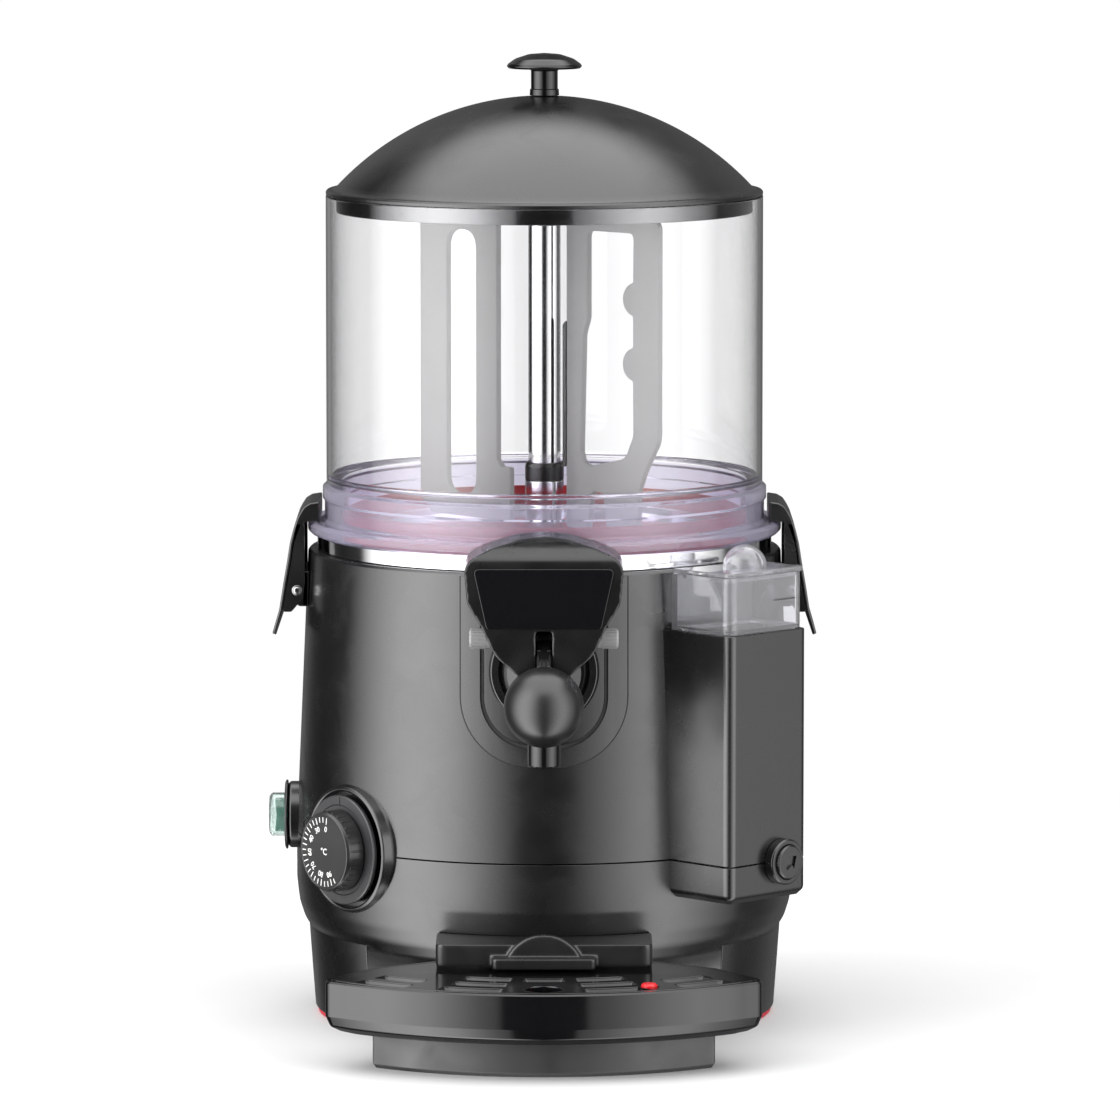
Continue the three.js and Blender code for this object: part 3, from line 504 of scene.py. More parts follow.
CASING = moulded("satin_black", (0.0042, 0.0042, 0.0045), 0.26, {"Specular IOR Level": 1.0},
                 grain=0.05, grain_scale=2600)
HOOD_BLACK = moulded("hood_black", (0.005, 0.005, 0.0055), 0.27, {"Specular IOR Level": 0.6},
                     grain=0.05, grain_scale=2600)
GLOSS = moulded("gloss_black", (0.004, 0.004, 0.0045), 0.13, {"Specular IOR Level": 0.6},
                grain=0.03, grain_scale=700, rough_vary=0.3)
TRAY_BLACK = moulded("tray_black", (0.004, 0.004, 0.0045), 0.075, {"Specular IOR Level": 0.66},
                     grain=0.015, grain_scale=700, rough_vary=0.25)
FOOT_BLACK = moulded("tray_foot_black", (0.012, 0.012, 0.0125), 0.5, {"Specular IOR Level": 1.0},
                     grain=0.05, grain_scale=2200)
BADGE_BLACK = moulded("badge_black", (0.005, 0.005, 0.006), 0.07, {"Specular IOR Level": 0.5},
                      grain=0.01, grain_scale=500, rough_vary=0.35)
SATIN_DARK = moulded("fine_black", (0.011, 0.011, 0.0115), 0.32, {"Specular IOR Level": 0.75},
                     grain=0.05, grain_scale=2400)
WHITE = moulded("food_white", (0.44, 0.44, 0.445), 0.32, grain=0.05, grain_scale=900, vary=0.04)
PIN_WHITE = moulded("pin_white", (0.30, 0.30, 0.30), 0.35, grain=0.05, vary=0.05)
GREY = moulded("dial_grey", (0.030, 0.030, 0.032), 0.34, {"Specular IOR Level": 0.7}, grain=0.08)
MACHINE_GREY = moulded("machine_grey", (0.09, 0.095, 0.10), 0.42, grain=0.15)
GREEN = moulded("switch_green", (0.008, 0.30, 0.19), 0.22, {"Transmission Weight": 0.15},
                grain=0.02, vary=0.1)
RED = moulded("seal_red", (0.62, 0.035, 0.055), 0.5, grain=0.12, grain_scale=900)
FLOAT_RED = moulded("float_red", (0.68, 0.012, 0.02), 0.25, grain=0.02, vary=0.08)
RUBBER = moulded("black_rubber", (0.02, 0.02, 0.021), 0.75, grain=0.25, grain_scale=1100)
MARKS = moulded("dial_marks", (0.82, 0.82, 0.80), 0.5, grain=0.05, vary=0.04)
STEEL = metal("polished_steel", (0.80, 0.80, 0.81), 0.10)
SKIRT_STEEL = metal("lid_skirt_steel", (0.15, 0.15, 0.155), 0.16)
SOFT_STEEL = metal("satin_steel", (0.66, 0.66, 0.67), 0.26, bump=0.08)
WIRE = metal("spring_steel", (0.58, 0.58, 0.6), 0.22, lines=(700, 700, 700))
BRASS = metal("turned_brass", (0.78, 0.55, 0.24), 0.24)
CLEAR = clear("clear_bowl", (0.985, 0.985, 0.99))
FOOT_CLEAR = clear("clear_foot", (0.80, 0.76, 0.93), haze=0.17)
TANK_CLEAR = clear("clear_tank", (0.95, 0.953, 0.98), haze=0.10)
BOOT_CLEAR = clear("clear_boot", (0.86, 0.96, 0.93), haze=0.06)


# ---- pieces ----
def piece(name, material, body, bm, replaces=(), place=UPRIGHT, sharp=34, bevel=0.0):
    """Finish a mesh: put it in place, shade it, give it its material and its body."""
    bm.transform(TO_METRES @ place)
    made = solid(name, bm)
    made.data.materials.append(material)
    made.data.shade_smooth()
    made.data.set_sharp_from_angle(angle=math.radians(sharp))
    if bevel:
        rounding = made.modifiers.new("rounding", "BEVEL")
        rounding.width = bevel / 1000
        rounding.segments = 3
        rounding.limit_method = "ANGLE"
        rounding.angle_limit = math.radians(sharp)
        rounding.harden_normals = True
    even = made.modifiers.new("even_shading", "WEIGHTED_NORMAL")
    even.keep_sharp = True
    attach(made, body)
    if replaces:
        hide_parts(*replaces)
    return made


def tint_below(made, material, height):
    """Give the faces of a piece that lie below a height a second material."""
    made.data.materials.append(material)
    for face in made.data.polygons:
        if face.center.z - AXIS.z < height / 1000:
            face.material_index = 1


def rod(r, z0, z1, edge=0.4, segments=SMALL):
    return revolve([(0, z0), (r, z0), (r, z1), (0, z1)], segments, edge)


def ring(inner, outer, z0, z1, edge=0.3, segments=SMALL):
    return revolve([(inner, z0), (outer, z0), (outer, z1), (inner, z1)], segments, edge)


def side_outline(back, face, left, right, corner, back_r=None):
    """The side housing from above as outline(inset): x away from the axis, y along its face."""
    def outline(inset):
        r = max(corner - inset, 0.6)
        f, a, b = face - inset, left + inset, right - inset
        front = arc(f - r, a + r, r, -90, 0, 8) + arc(f - r, b - r, r, 0, 90, 8)
        if back_r is None:
            return [(back, a), *front, (back, b)]
        rb = back_r + inset
        steps = [b + (a - b) * i / 16 for i in range(17)]
        rear = [(math.sqrt(rb * rb - t * t), t) for t in steps]
        return front + rear
    return outline


# Casing: two turned shells that meet at the seam, with the side housing and two bosses.
def casing():
    low, high = SEAM_Z - SEAM_GAP, SEAM_Z + SEAM_GAP
    shell_top = revolve([
        (CASE_R, high, 0.5), (141.6, 272.5, 1.2), (140.4, 274, 0.8), (128, 274, 0.4), (128, 271),
        (138.6, 271, 2), (146, high)], LARGE)
    shell_low = revolve([
        (92, 16, 2), (107, 22.6, 20), (122.5, 30, 30), (132.5, 37.6, 24), (139, 44, 18),
        (144.5, 52.5, 20), (147.5, 62, 24), (CASE_R, 75, 24), (CASE_R, low, 0.5), (146, low),
        (146, 75, 8), (144.5, 62.8, 8), (141.7, 54, 8), (136.5, 46, 6), (130.4, 40, 6),
        (120.8, 32.8, 8), (105.6, 25.4, 8), (91, 19, 2), (77.3, 19), (77.3, 16)], LARGE, 0.4, 5)
    block = side_outline(120, 191.8, -39.2, 26.8, 5.5)
    block_top = sweep(block, [
        (0, high, 0.5), (0, 239.5, 0.8), (3, 239.5, 0.6), (3, high)], closed=True)
    block_low = sweep(block, [
        (4.0, 82, 1), (0, 85.6, 4), (0, low, 0.5), (3, low, 0.3), (3, 85.5)], steps=5)
    turret = revolve([
        (28, 100), (44.5, 100), (44.5, 131, 4), (43.5, 138, 6), (38.5, 145.5, 6), (37.2, 151, 1.5),
        (35.6, 152, 1.0), (34.6, 151.2, 0.5), (34.2, 146, 0.8), (28, 146)], MEDIUM)
    boss = revolve([(14, 120), (20, 120), (20, 152.6, 1.6), (18.6, 154, 0.8), (14, 154)], SMALL)
    piece("casing_upper", CASING, "housing", shell_top, ["upper_casing"])
    piece("casing_lower", CASING, "housing", shell_low, ["lower_casing"])
    piece("side_housing_upper", CASING, "housing", block_top, place=SIDE_TURN)
    piece("side_housing_lower", CASING, "housing", block_low, place=SIDE_TURN)
    piece("dial_turret", CASING, "housing", turret, place=DIAL)
    piece("switch_boss", CASING, "housing", boss, place=SWITCH)


def legs():
    section = soften([
        (112, LEG_BOTTOM_Z), (138, LEG_BOTTOM_Z, 1.4), (141.6, 46.5, 1), (140.2, 50), (112, 26)], 1.0)
    pad = soften(rectangle(123, 136.5, FLOOR_Z, LEG_BOTTOM_Z - 0.1), 0.7)
    for i, angle in enumerate(LEG_ANGLES):
        leg = arc_sweep(section, angle - LEG_HALF_ANGLE, angle + LEG_HALF_ANGLE, 24)
        piece(f"leg_{i + 1}", CASING, "housing", leg, bevel=1.6)
        foot = arc_sweep(pad, angle - LEG_HALF_ANGLE + 1, angle + LEG_HALF_ANGLE - 1, 24)
        piece(f"foot_{i + 1}", RED, "housing", foot, [f"foot_pad_{i + 1}"], bevel=0.5)


def vessel():
    pot = revolve([
        (9.9, 314.3), (11.6, 314.3, 0.5), (11.6, 283.7, 1.5), (113.2, 283.7, 0.5),
        (113.2, 288, 0.4), (114.7, 288, 0.4), (114.7, 283.7, 0.3), (134.8, 283.7, 1.2),
        (136, 282.6, 1.0), (136, 274.3), (134.2, 274.3), (134.2, 281.7), (9.9, 281.7)], LARGE)
    piece("pot", STEEL, "housing", pot, ["heated_pot"])
    bowl = revolve([
        (121.3, 284, 0.4), (139.8, 284, 1.2), (141.7, 286, 1.4), (141.7, 289.6, 1.4),
        (139.8, 291.5, 1.4), (134, 291.5, 1.6), (131.6, 293.5, 1.8), (131.6, 303.4, 0.8),
        (132.8, 304.6, 0.8), (132.8, 311.4, 0.8), (130.5, 312.8, 1.0), (130.5, 485.5, 0.8),
        (127.5, 485.5, 0.8), (127.5, 318.5, 1.5), (121.3, 316, 1.2)], LARGE, 0.4, 4)
    made = piece("bowl_moulding", CLEAR, "housing", bowl, ["bowl"])
    tint_below(made, FOOT_CLEAR, BOWL_FOOT_Z)
    seal = revolve([
        (115, 284.2), (121, 284.2), (121, 298, 0.8), (117, 299, 1), (115, 296, 1)], LARGE)
    piece("seal_ring", RED, "housing", seal, ["bowl_seal"])
    column = revolve([
        (7.6, 144), (14, 144), (14, 149.7), (9.6, 149.7), (9.6, 467.9, 0.6), (7.6, 467.9)], MEDIUM)
    piece("column", STEEL, "housing", column, ["column_tube"])
    bush = revolve([
        (9.9, 314.6), (11.6, 314.6, 0.4), (11.6, 323, 0.6), (11.0, 325.3, 0.5), (9.9, 325.3)], MEDIUM)
    piece("bush", SATIN_DARK, "housing", bush, ["column_bush"])


def stirring():
    shaft = revolve([(0, 137), (5, 137), (5, 458, 0.4), (4, 459), (4, 471, 0.5), (0, 471)], SMALL)
    piece("shaft", STEEL, "stirring", shaft, ["drive_shaft"])
    outline = soften([
        (-104, 474, 5), (95, 474, 5), (95, 344, 16), (84, 325, 14), (78.5, 312, 8), (77, 288, 4),
        (53, 288, 3), (50, 310.5, 4), (41, 310.5, 4), (38, 288, 3), (20, 288, 2),
        (20, 468.5, 2), (-38, 468.5, 2), (-38, 324, 2),
        (-34, 320, 2), (-27, 320, 2), (-27, 288, 2), (-96, 288, 5), (-104, 296, 4)], 2, steps=6)
    slot = soften([
        (-80.5, 301, 12), (-56, 301, 12), (-56, 461.5, 12), (-80.5, 461.5, 12)], 12, steps=10)
    bumps = arc(76, 388.5, 10, 260, 100, 12) + arc(76, 427, 10, 260, 100, 12)
    window = soften([
        (32, 334, 3), (34, 327.6, 4), (40, 325.8, 5), (68, 332, 8), (74.6, 346, 10), *bumps,
        (74.6, 466, 4), (37.5, 466, 4), (37.5, 414, 4), (34, 404, 4)], 1.5, steps=4)
    blades = plate([outline, slot, window], -2.2, 2.2, 0.9)
    place = about_z(-STIRRER_TURN) @ FRONT
    piece("stirrer_blades", WHITE, "stirring", blades, ["stirrer"], place=place)
    hub = revolve([
        (4.3, 468.5), (12.6, 468.5, 0.8), (13, 472, 0.5), (12, 478, 1.2), (4.3, 478)], SMALL)
    piece("stirrer_hub", WHITE, "stirring", hub)
    # The flange along the blade's inner bar sits in shadow between the bar and the column; its fine
    # black colour is painted shade on what is part of the white blade.
    painted_shade_flange = plate([soften([(17.6, 324), (20.6, 324), (20.6, 412), (17.6, 409)], 1.0)], -3, 3, 0.5)
    piece("stirrer_flange_painted_shade", SATIN_DARK, "stirring", painted_shade_flange, place=place)


def lid():
    radius = (LID_BASE_R ** 2 + LID_RISE ** 2) / (2 * LID_RISE)
    centre = LID_BASE_Z + LID_RISE - radius

    def dome(r, edge, steps):
        last = math.asin(edge / r)
        turns = [last * i / steps for i in range(steps + 1)]
        return [(r * math.sin(t), centre + r * math.cos(t), 0) for t in turns]

    shell = revolve([
        *dome(radius, 124.4, 40), (126.5, 488.9, 0.8), (129.6, 488.7, 0.8), (130.5, 487.6, 0.8),
        (130.4, LID_BOTTOM_Z, 0.5), (122.2, LID_BOTTOM_Z, 0.4),
        *reversed(dome(radius - 2.5, 121.6, 24))], LARGE)
    piece("lid_dome", CASING, "lid", shell, ["lid"])
    skirt = revolve([(122.4, 476), (124.2, 476), (124.2, 485.6), (122.4, 485.6)], LARGE, 0.5)
    piece("skirt", SKIRT_STEEL, "lid", skirt, ["lid_skirt"])
    knob = revolve([
        (0, 544.8), (8.8, 544.8, 0.3), (8.6, 548.4, 0.5), (8.0, 548.8, 0.3), (8, 559.6, 1.2),
        (10, 561, 1), (21.4, 560.9, 0.6), (22.5, 562.2, 0.7), (21.6, 563.6, 1.5), (17.4, 566.6, 8),
        (9.5, 569.2, 12), (0, 570, 0)], MEDIUM, 0.4, 5)
    piece("knob", GLOSS, "lid", knob, ["lid_knob"])


def latch_side(name, mirror):
    outer = [
        (162.5, 225, 0.8), (158.3, 239.5, 8), (156, 254, 8), (153.5, 268.5, 8), (151.8, 279.4, 6),
        (150, 286.6, 6), (147.6, 293.9, 5), (145.8, 297.5, 3), (143.4, 301.1, 3), (139.9, 303.2, 3),
        (134, 304.1, 1)]
    inner = [
        (134, 292, 1), (142, 292, 2), (144.6, 289.6, 2), (146.6, 284, 4), (148.2, 279.5, 6),
        (150, 268, 8), (152.8, 253, 8), (155.2, 239, 8), (160.2, 224.2, 0.6)]
    cheek = [
        (157, 238), (154.6, 254), (152, 268.5), (150.4, 279.4), (148, 291), (142.9, 291),
        (142.9, 256), (144.2, 246), (151, 238)]
    lug = [(141, 241), (147, 241), (150.6, 247), (150.6, 255), (147, 262), (141, 262)]
    place = Matrix.Scale(-1, 4, (1, 0, 0)) @ FRONT if mirror else FRONT
    skin = plate([soften(outer + inner, 1.5)], -LATCH_HALF, LATCH_HALF, 1.0)
    cheeks = [plate([soften(cheek, 2)], low, low + 2.4, 0.4)
              for low in (-LATCH_HALF, LATCH_HALF - 2.4)]
    piece(f"latch_{name}_cover", CASING, f"{name}_latch", joined(skin, *cheeks),
          [f"latch_{name}"], place=place)
    lugs = [plate([soften(lug, 2.5)], low, low + 9, 0.6) for low in (-25, 16)]
    pad = [(141.2, 241), (144.6, 241), (143.6, 262), (140.4, 262)]
    lugs.append(plate([soften(pad, 0.6)], -25, 25, 0.5))
    piece(f"latch_{name}_mount", CASING, "housing", joined(*lugs),
          [f"latch_bracket_{name}"], place=place)
    pin = revolve([
        (0, -29.5), (1.8, -29.5), (1.8, -28.2), (3, -28.2), (3, 28.2), (1.8, 28.2), (1.8, 29.5),
        (0, 29.5)], SMALL, 0.3)
    pin_place = outward(0, LATCH_PIN_Z, -LATCH_PIN_X if mirror else LATCH_PIN_X)
    body = frame["nodes"][f"latch_pin_{name}"]["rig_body"]
    piece(f"latch_{name}_rod", STEEL, body, pin, [f"latch_pin_{name}"], place=pin_place)


# Thermostat dial and switch.
def dial():
    bezel = revolve([
        (5, 152.3), (32.2, 152.3), (32.5, 154.4, 0.6), (31.8, 155, 0.4), (27, 155, 0.3),
        (26.4, 154.5, 0.3), (5, 154.5)], MEDIUM)
    piece("bezel", GREY, "housing", bezel, ["thermostat_bezel"], place=DIAL)
    mark = plate([rectangle(-0.45, 0.45, 26.6, 31.6)], 154.8, 155.15, 0.1)
    piece("bezel_mark", GLOSS, "housing", mark, place=DIAL)
    knob = revolve([
        (0, 155.3), (23.4, 155.3, 0.4), (24, 156, 0.4), (23.4, 165.6, 1.2), (22.4, 167.2, 0.8),
        (21.6, 167.2, 0.2), (21.2, DIAL_FACE, 0.2), (0, DIAL_FACE)], MEDIUM)
    grip = [turned_by(plate([soften(rectangle(-0.7, 0.7, 22.6, 23.9), 0.3)], 156.6, 164.8, 0.25),
                      about_z(angle)) for angle in range(0, 360, 12)]
    piece("dial_knob", SATIN_DARK, "thermostat_dial", joined(knob, *grip),
          ["thermostat_knob"], place=DIAL)
    parts = []
    for i in range(23):
        inner = 16.6 if i % 3 == 0 else 17.4
        tick = plate([rectangle(-0.32, 0.32, inner, 20.6)], DIAL_FACE, 167.15, 0.05)
        parts.append(turned_by(tick, about_z(SCALE_START + i * 10)))
    for i, text in enumerate(("0", "30", "40", "60", "70", "80", "90")):
        where = about_z(SCALE_START + 35 * i) @ at(0, 13.6, DIAL_FACE)
        parts.append(turned_by(lettering(text, 4.6), where))
    parts.append(turned_by(lettering("°C", 5.4), at(0, 0, DIAL_FACE)))
    piece("dial_scale", MARKS, "thermostat_dial", joined(*parts), place=DIAL)


def lettering(text, size):
    """Upright figures, centred on the origin, about 0.25 mm thick."""
    curve = bpy.data.curves.new("figures", "FONT")
    curve.body = text
    curve.size = size
    curve.align_x = "CENTER"
    curve.align_y = "CENTER"
    curve.extrude = 0.12
    curve.offset = 0.06
    curve.resolution_u = 4
    return turned_by(curve_mesh(curve), at(0, 0, 0.12))


def switch():
    plate_ring = revolve([
        (11, 154.3), (20.8, 154.3, 0.4), (20.8, 155.4, 0.6), (19.4, 156, 0.4), (11, 156)], SMALL)
    piece("switch_ring", SATIN_DARK, "housing", plate_ring, ["switch_plate"], place=SWITCH)
    boot = revolve([
        (0, 165.6), (11.2, 165.5, 2), (13, 163.8, 1.6), (13, 156.3, 0.4), (12, 156.3, 0.3),
        (12, 163.4, 1), (10.8, 164.4, 0.8), (0, 164.5)], SMALL)
    piece("switch_cover", BOOT_CLEAR, "housing", boot, ["switch_boot"], place=SWITCH)
    outline = soften([(-7.6, 150), (7.6, 150), (9.6, 156.5, 1), (9.6, 162.2, 0.8), (0, 161.2, 6),
                      (-9.6, 162.2, 0.8), (-9.6, 156.5, 1)], 0.5)
    rocker = plate([outline], -5.2, 5.2, 0.5)
    piece("rocker", GREEN, "rocker", rocker, ["switch_rocker"], place=SWITCH @ SIDEWAYS)


# Tap: surround, mount, collar, valve body, hood, badge, pin, lever and ball.
def footed(half, z0, z1, corner):
    """A tall outline with its two lower corners rounded."""
    return [*arc(-half + corner, z0 + corner, corner, 180, 270, 16),
            *arc(half - corner, z0 + corner, corner, 270, 360, 16), (half, z1), (-half, z1)]


def case_radius(z, offset):
    return CASE_R - (z - SEAM_Z) * CASE_DRAW_IN / CASE_DRAW_HEIGHT + offset


def case_skin(low, high):
    """A skin on the upper casing, between two offsets from its surface."""
    return revolve([
        (case_radius(150, low), 150), (case_radius(150, high), 150),
        (case_radius(274, high), 274), (case_radius(274, low), 274)], 360, 0)


def tap_panel():
    around = slab(footed(48.5, 161.6, 272, 40), -170, -100, SEEN_FRONT)
    window = slab(footed(37.4, 172, 290, 30), -180, -90, SEEN_FRONT)
    surround = carved(case_skin(-1.2, 1.6), [("INTERSECT", around), ("DIFFERENCE", window)])
    piece("tap_frame", CASING, "housing", surround, ["tap_surround"], bevel=0.7)
    inside = slab(footed(34, 175.5, 250, 27), -170, -100, SEEN_FRONT)
    mount = carved(case_skin(-1.2, 2.6), [("INTERSECT", inside)])
    piece("tap_back_plate", CASING, "housing", mount, ["tap_mount_plate"], bevel=0.8)
    lines = [("tap_frame_line", footed(49.3, 160.9, 272, 40.6), footed(48.5, 161.7, 290, 40), 0.2),
             ("tap_plate_line", footed(37.8, 171.6, 262, 30), footed(35.4, 174, 290, 28), 0.6)]
    for name, outer, inner, height in lines:
        band = carved(case_skin(-1.2, height), [
            ("INTERSECT", slab(outer, -180, -90, SEEN_FRONT)),
            ("DIFFERENCE", slab(inner, -190, -80, SEEN_FRONT))])
        piece(name, RUBBER, "housing", band)
    collar = revolve([(26.5, 140), (32.2, 140), (32.2, 150, 1.2), (30.8, 152, 1), (26.5, 152)],
                     MEDIUM)
    piece("collar", CASING, "housing", collar, ["tap_collar"], place=OUTLET)


def hood_front_y(z):
    return -188.6 - HOOD_SLOPE * (z - 246)


HOOD_FLANK = [(15.4, 220, 5), (28.3, 231.5, 14), (37, 250, 12), (44.4, 262, 14), (46, 282, 6)]
HOOD_CROWN = [(42.6, 288, 9), (31, 293.4, 14), (15, 297.6, 22)]
HOOD_FRONT = [
    *mirrored(HOOD_FLANK), *HOOD_FLANK, *HOOD_CROWN, (0, 299, 20), *mirrored(HOOD_CROWN)]
HOOD_SIDE = [
    (-140, 300), (-163, 300, 24), (-181, 295.4, 16), (-190.4, 288.4, 9),
    (hood_front_y(279), 279, 8), (hood_front_y(246), 246, 20), (-186, 219, 4), (-176, 219, 4),
    (-165, 232, 10), (-152, 262, 16), (-140, 278)]
BADGE = [(-33.2, 247.4, 2.5), (33.2, 247.4, 2.5), (40.8, 283, 3), (-40.8, 283, 3)]


def tap_hood():
    front = slab(soften(HOOD_FRONT, 2), -140, -200, SEEN_FRONT)
    side = slab(soften(HOOD_SIDE, 1), -50, 50, SIDEWAYS)
    slot = slab(soften(rectangle(-4.6, 4.6, 205, 246), 1.2), 170, 205, FRONT)
    barrel = turned_by(rod(15.8, 140, 182), OUTLET)
    hood = carved(front, [("INTERSECT", side), ("DIFFERENCE", slot), ("DIFFERENCE", barrel)],
                  voxel=0.75, passes=5)
    piece("hood", HOOD_BLACK, "housing", hood, ["tap_hood"], sharp=80)
    tilt = Matrix.Rotation(math.atan(HOOD_SLOPE), 4, "X")
    place = at(0, hood_front_y(BADGE_Z), BADGE_Z) @ tilt @ FRONT
    face = [(x, z - BADGE_Z, corner) for x, z, corner in BADGE]
    badge = plate([soften(face, 2, steps=5)], -0.6, 0.75, 0.5)
    piece("badge", BADGE_BLACK, "housing", badge, ["tap_badge"], place=place)


def tap_valve():
    barrel = revolve([
        (8.6, 130), (23.5, 130), (23.5, 158.5, 1.5), (21.5, 160.6, 1), (15.2, 165, 1),
        (15, 180.6, 1), (14, 181.5, 0.5), (3.6, 181.5), (3.6, 178), (11, 178), (11, 155),
        (8.6, 155)], MEDIUM)
    nozzle = revolve([
        (7.4, 165.5), (9.2, 165.5, 0.4), (9.6, 166.4, 0.5), (9.6, 206.8), (7.4, 206.8)], SMALL)
    nozzle.transform(at(0, PIN_Y))
    web = turned_by(plate([soften(rectangle(-1.2, 1.2, -7.6, 7.6), 0.4)], 168, 190, 0.3),
                    at(0, PIN_Y))
    lugs = [turned_by(plate([soften(rectangle(-179, -166, 226, 247), 3)], low, low + 4, 0.6),
                      SIDEWAYS) for low in (-13, 9)]
    barrel.transform(OUTLET)
    piece("valve_body", GLOSS, "housing", joined(barrel, nozzle, web, *lugs), ["tap_body"])
    head = revolve([
        (0, 43.2), (4.6, 43.2, 0.6), (5.5, 42.2, 0.6), (5.5, 31), (0, 31)], SMALL)
    ends = (PIN, PIN @ Matrix.Rotation(math.pi, 4, "Y"))
    ribs = []
    for end in ends:
        for angle in range(0, 360, 20):
            rib = plate([soften(rectangle(-0.42, 0.42, 4.9, 5.95), 0.25)], 33.5, 42.4, 0.2)
            ribs.append(turned_by(turned_by(rib, about_z(angle)), end))
    other = turned_by(head.copy(), ends[1])
    head.transform(ends[0])
    bar = turned_by(rod(3, -42, 42), PIN)
    body = frame["nodes"]["tap_pin"]["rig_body"]
    piece("pivot_pin", PIN_WHITE, body, joined(head, other, bar, *ribs), ["tap_pin"])


def tap_handle():
    reach = math.hypot(BALL_Y - PIN_Y, BALL_Z - PIN_Z)
    out = Vector((0, BALL_Y - PIN_Y, BALL_Z - PIN_Z)).normalized()
    side = Vector((1, 0, 0))
    lever = basis(side, out.cross(side), out, (0, PIN_Y, PIN_Z))
    hub = turned_by(ring(3.3, 6, -4, 4, 0.5), PIN)
    bar = turned_by(plate([soften(rectangle(-4, 4, -3.6, 3.6), 1.2)], 4, 27, 0.8), lever)
    stem = turned_by(rod(4, 20, reach - 4, 0.6), lever)
    cheeks = [turned_by(plate([soften(rectangle(-185.5, -182.4, 216, 235), 1)], low, low + 2.1, 0.3),
                        SIDEWAYS) for low in (-4, 1.9)]
    piece("lever", GLOSS, "tap_handle", joined(hub, bar, stem, *cheeks), ["tap_lever"])
    turns = [math.pi * i / 36 for i in range(37)]
    profile = [
        (BALL_R * math.sin(t), reach - (BALL_R if t < math.pi / 2 else BALL_FRONT) * math.cos(t), 0)
        for t in turns]
    profile[0] = (0, reach - BALL_R, 0)
    profile[-1] = (0, reach + BALL_FRONT, 0)
    ball = revolve(profile, MEDIUM, 0)
    piece("ball", SATIN_DARK, "tap_handle", ball, ["tap_ball"], place=lever)


def tap_inside():
    stem = revolve([
        (0, 152.5), (5, 152.5), (5, 155.3), (3, 155.3), (3, 159), (9.8, 159), (9.8, 161),
        (3, 161), (3, 183), (0, 183)], SMALL, 0.3)
    tang = plate([soften(rectangle(-1.5, 1.5, -2.6, 2.6), 0.5)], 181, 188, 0.3)
    bar = plate([soften(rectangle(-4, 4, -2.8, 2.8), 0.8)], 186.4, 188.8, 0.4)
    piece("plunger", SOFT_STEEL, "tap_valve", joined(stem, tang, bar), ["tap_plunger"],
          place=OUTLET)
    seal = ring(3.3, 10.4, 155.6, 158.7, 0.4)
    piece("valve_seal", RED, "tap_valve", seal, ["tap_seal"], place=OUTLET)
    turns = [SPRING_TURNS * 2 * math.pi * i / 56 for i in range(57)]
    path = [(SPRING_R * math.cos(t), SPRING_R * math.sin(t),
             SPRING_START + SPRING_LENGTH * t / turns[-1]) for t in turns]
    coil = tube(path, 0.9)
    spring = piece("valve_spring", WIRE, "housing", coil, ["tap_spring"], place=OUTLET)
    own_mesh(spring)


def dome_arc(r, z, steps):
    """A dome's profile, from its rim up to its top."""
    turns = [math.pi / 2 * (1 - i / steps) for i in range(steps + 1)]
    return [(r * math.sin(t), z + r * math.cos(t), 0) for t in turns]


# Side tank, its lid, the fill pipe and the drain.
def side_tank():
    outline = side_outline(110, 188, -35.5, 23, 4.5, back_r=150.5)
    tank = sweep(outline, [
        (2, 87, 0.5), (0, 89, 1.5), (0, 239.8, 0.3), (-2.3, 239.8, 0.4), (-2.3, 273, 0.4),
        (0.2, 273, 0.4), (0.2, 242, 0.8), (2.5, 241, 0.8), (2.5, 89.5)])
    piece("tank", TANK_CLEAR, "housing", tank, ["water_tank"], place=SIDE_TURN)
    top = side_outline(110, 191, -38.5, 26, 5, back_r=149.5)
    cover = sweep(top, [
        (0.6, 273.3, 0.3), (0, 274, 0.3), (0, 275.4, 0.5), (0.6, 276, 0.4)])
    rib_outline = side_outline(110, 187.5, -35, 22.5, 3, back_r=154.5)
    rib = sweep(rib_outline, [(0, 270.6), (0, 273.4), (1.8, 273.4), (1.8, 270.6)], closed=True)
    joined(cover, rib)
    cover.transform(SIDE_TURN)
    grip = revolve([
        *reversed(dome_arc(11.2, GRIP_Z, 12)), (11.2, 272.9), (13, 273.2),
        *dome_arc(13, GRIP_Z, 12)], MEDIUM, 0)
    grip.transform(at(GRIP_X, GRIP_Y))
    joined(cover, grip)
    piece("tank_cover_plate", TANK_CLEAR, "tank_cover", cover, ["water_tank_lid"])
    level = plate([soften(rectangle(-9, 9, -0.35, 0.35), 0.2)], 190.35, 190.55, 0.05)
    piece("level_mark", GREY, "housing", level, place=outward(SIDE_ANGLE, LEVEL_Z, 8))
    pipe = ring(3.6, 5, 121, 153.2, 0.3)
    piece("fill_hose", RUBBER, "housing", pipe, ["fill_pipe"], place=FILL)
    spigot = ring(5, 8, 188.3, 197.4, 0.3)
    piece("spigot", CASING, "housing", spigot, ["drain_spigot"], place=DRAIN)
    cap = revolve([
        (8.4, 192.1), (13.5, 192.1, 0.5), (13.5, 197.6, 0.8), (12.6, 198.4, 0.6),
        (10.6, 198.4, 0.3), (10.4, 197.6, 0.2), (10.2, 197.6, 0.2), (10, 199.8, 0.6),
        (9.2, 200.4, 0.5), (0.01, 200.4), (0.01, 197.8), (8.4, 197.8)], MEDIUM, 0.3)
    arrow = [(-5, -2), (0, -2), (0, -5), (6, 0), (0, 5), (0, 2), (-5, 2)]
    cap = carved(cap, [("DIFFERENCE", slab(arrow, 199, 202, about_z(35)))])
    piece("drain_plug_cap", CASING, "drain_plug", cap, ["drain_cap"], place=DRAIN)


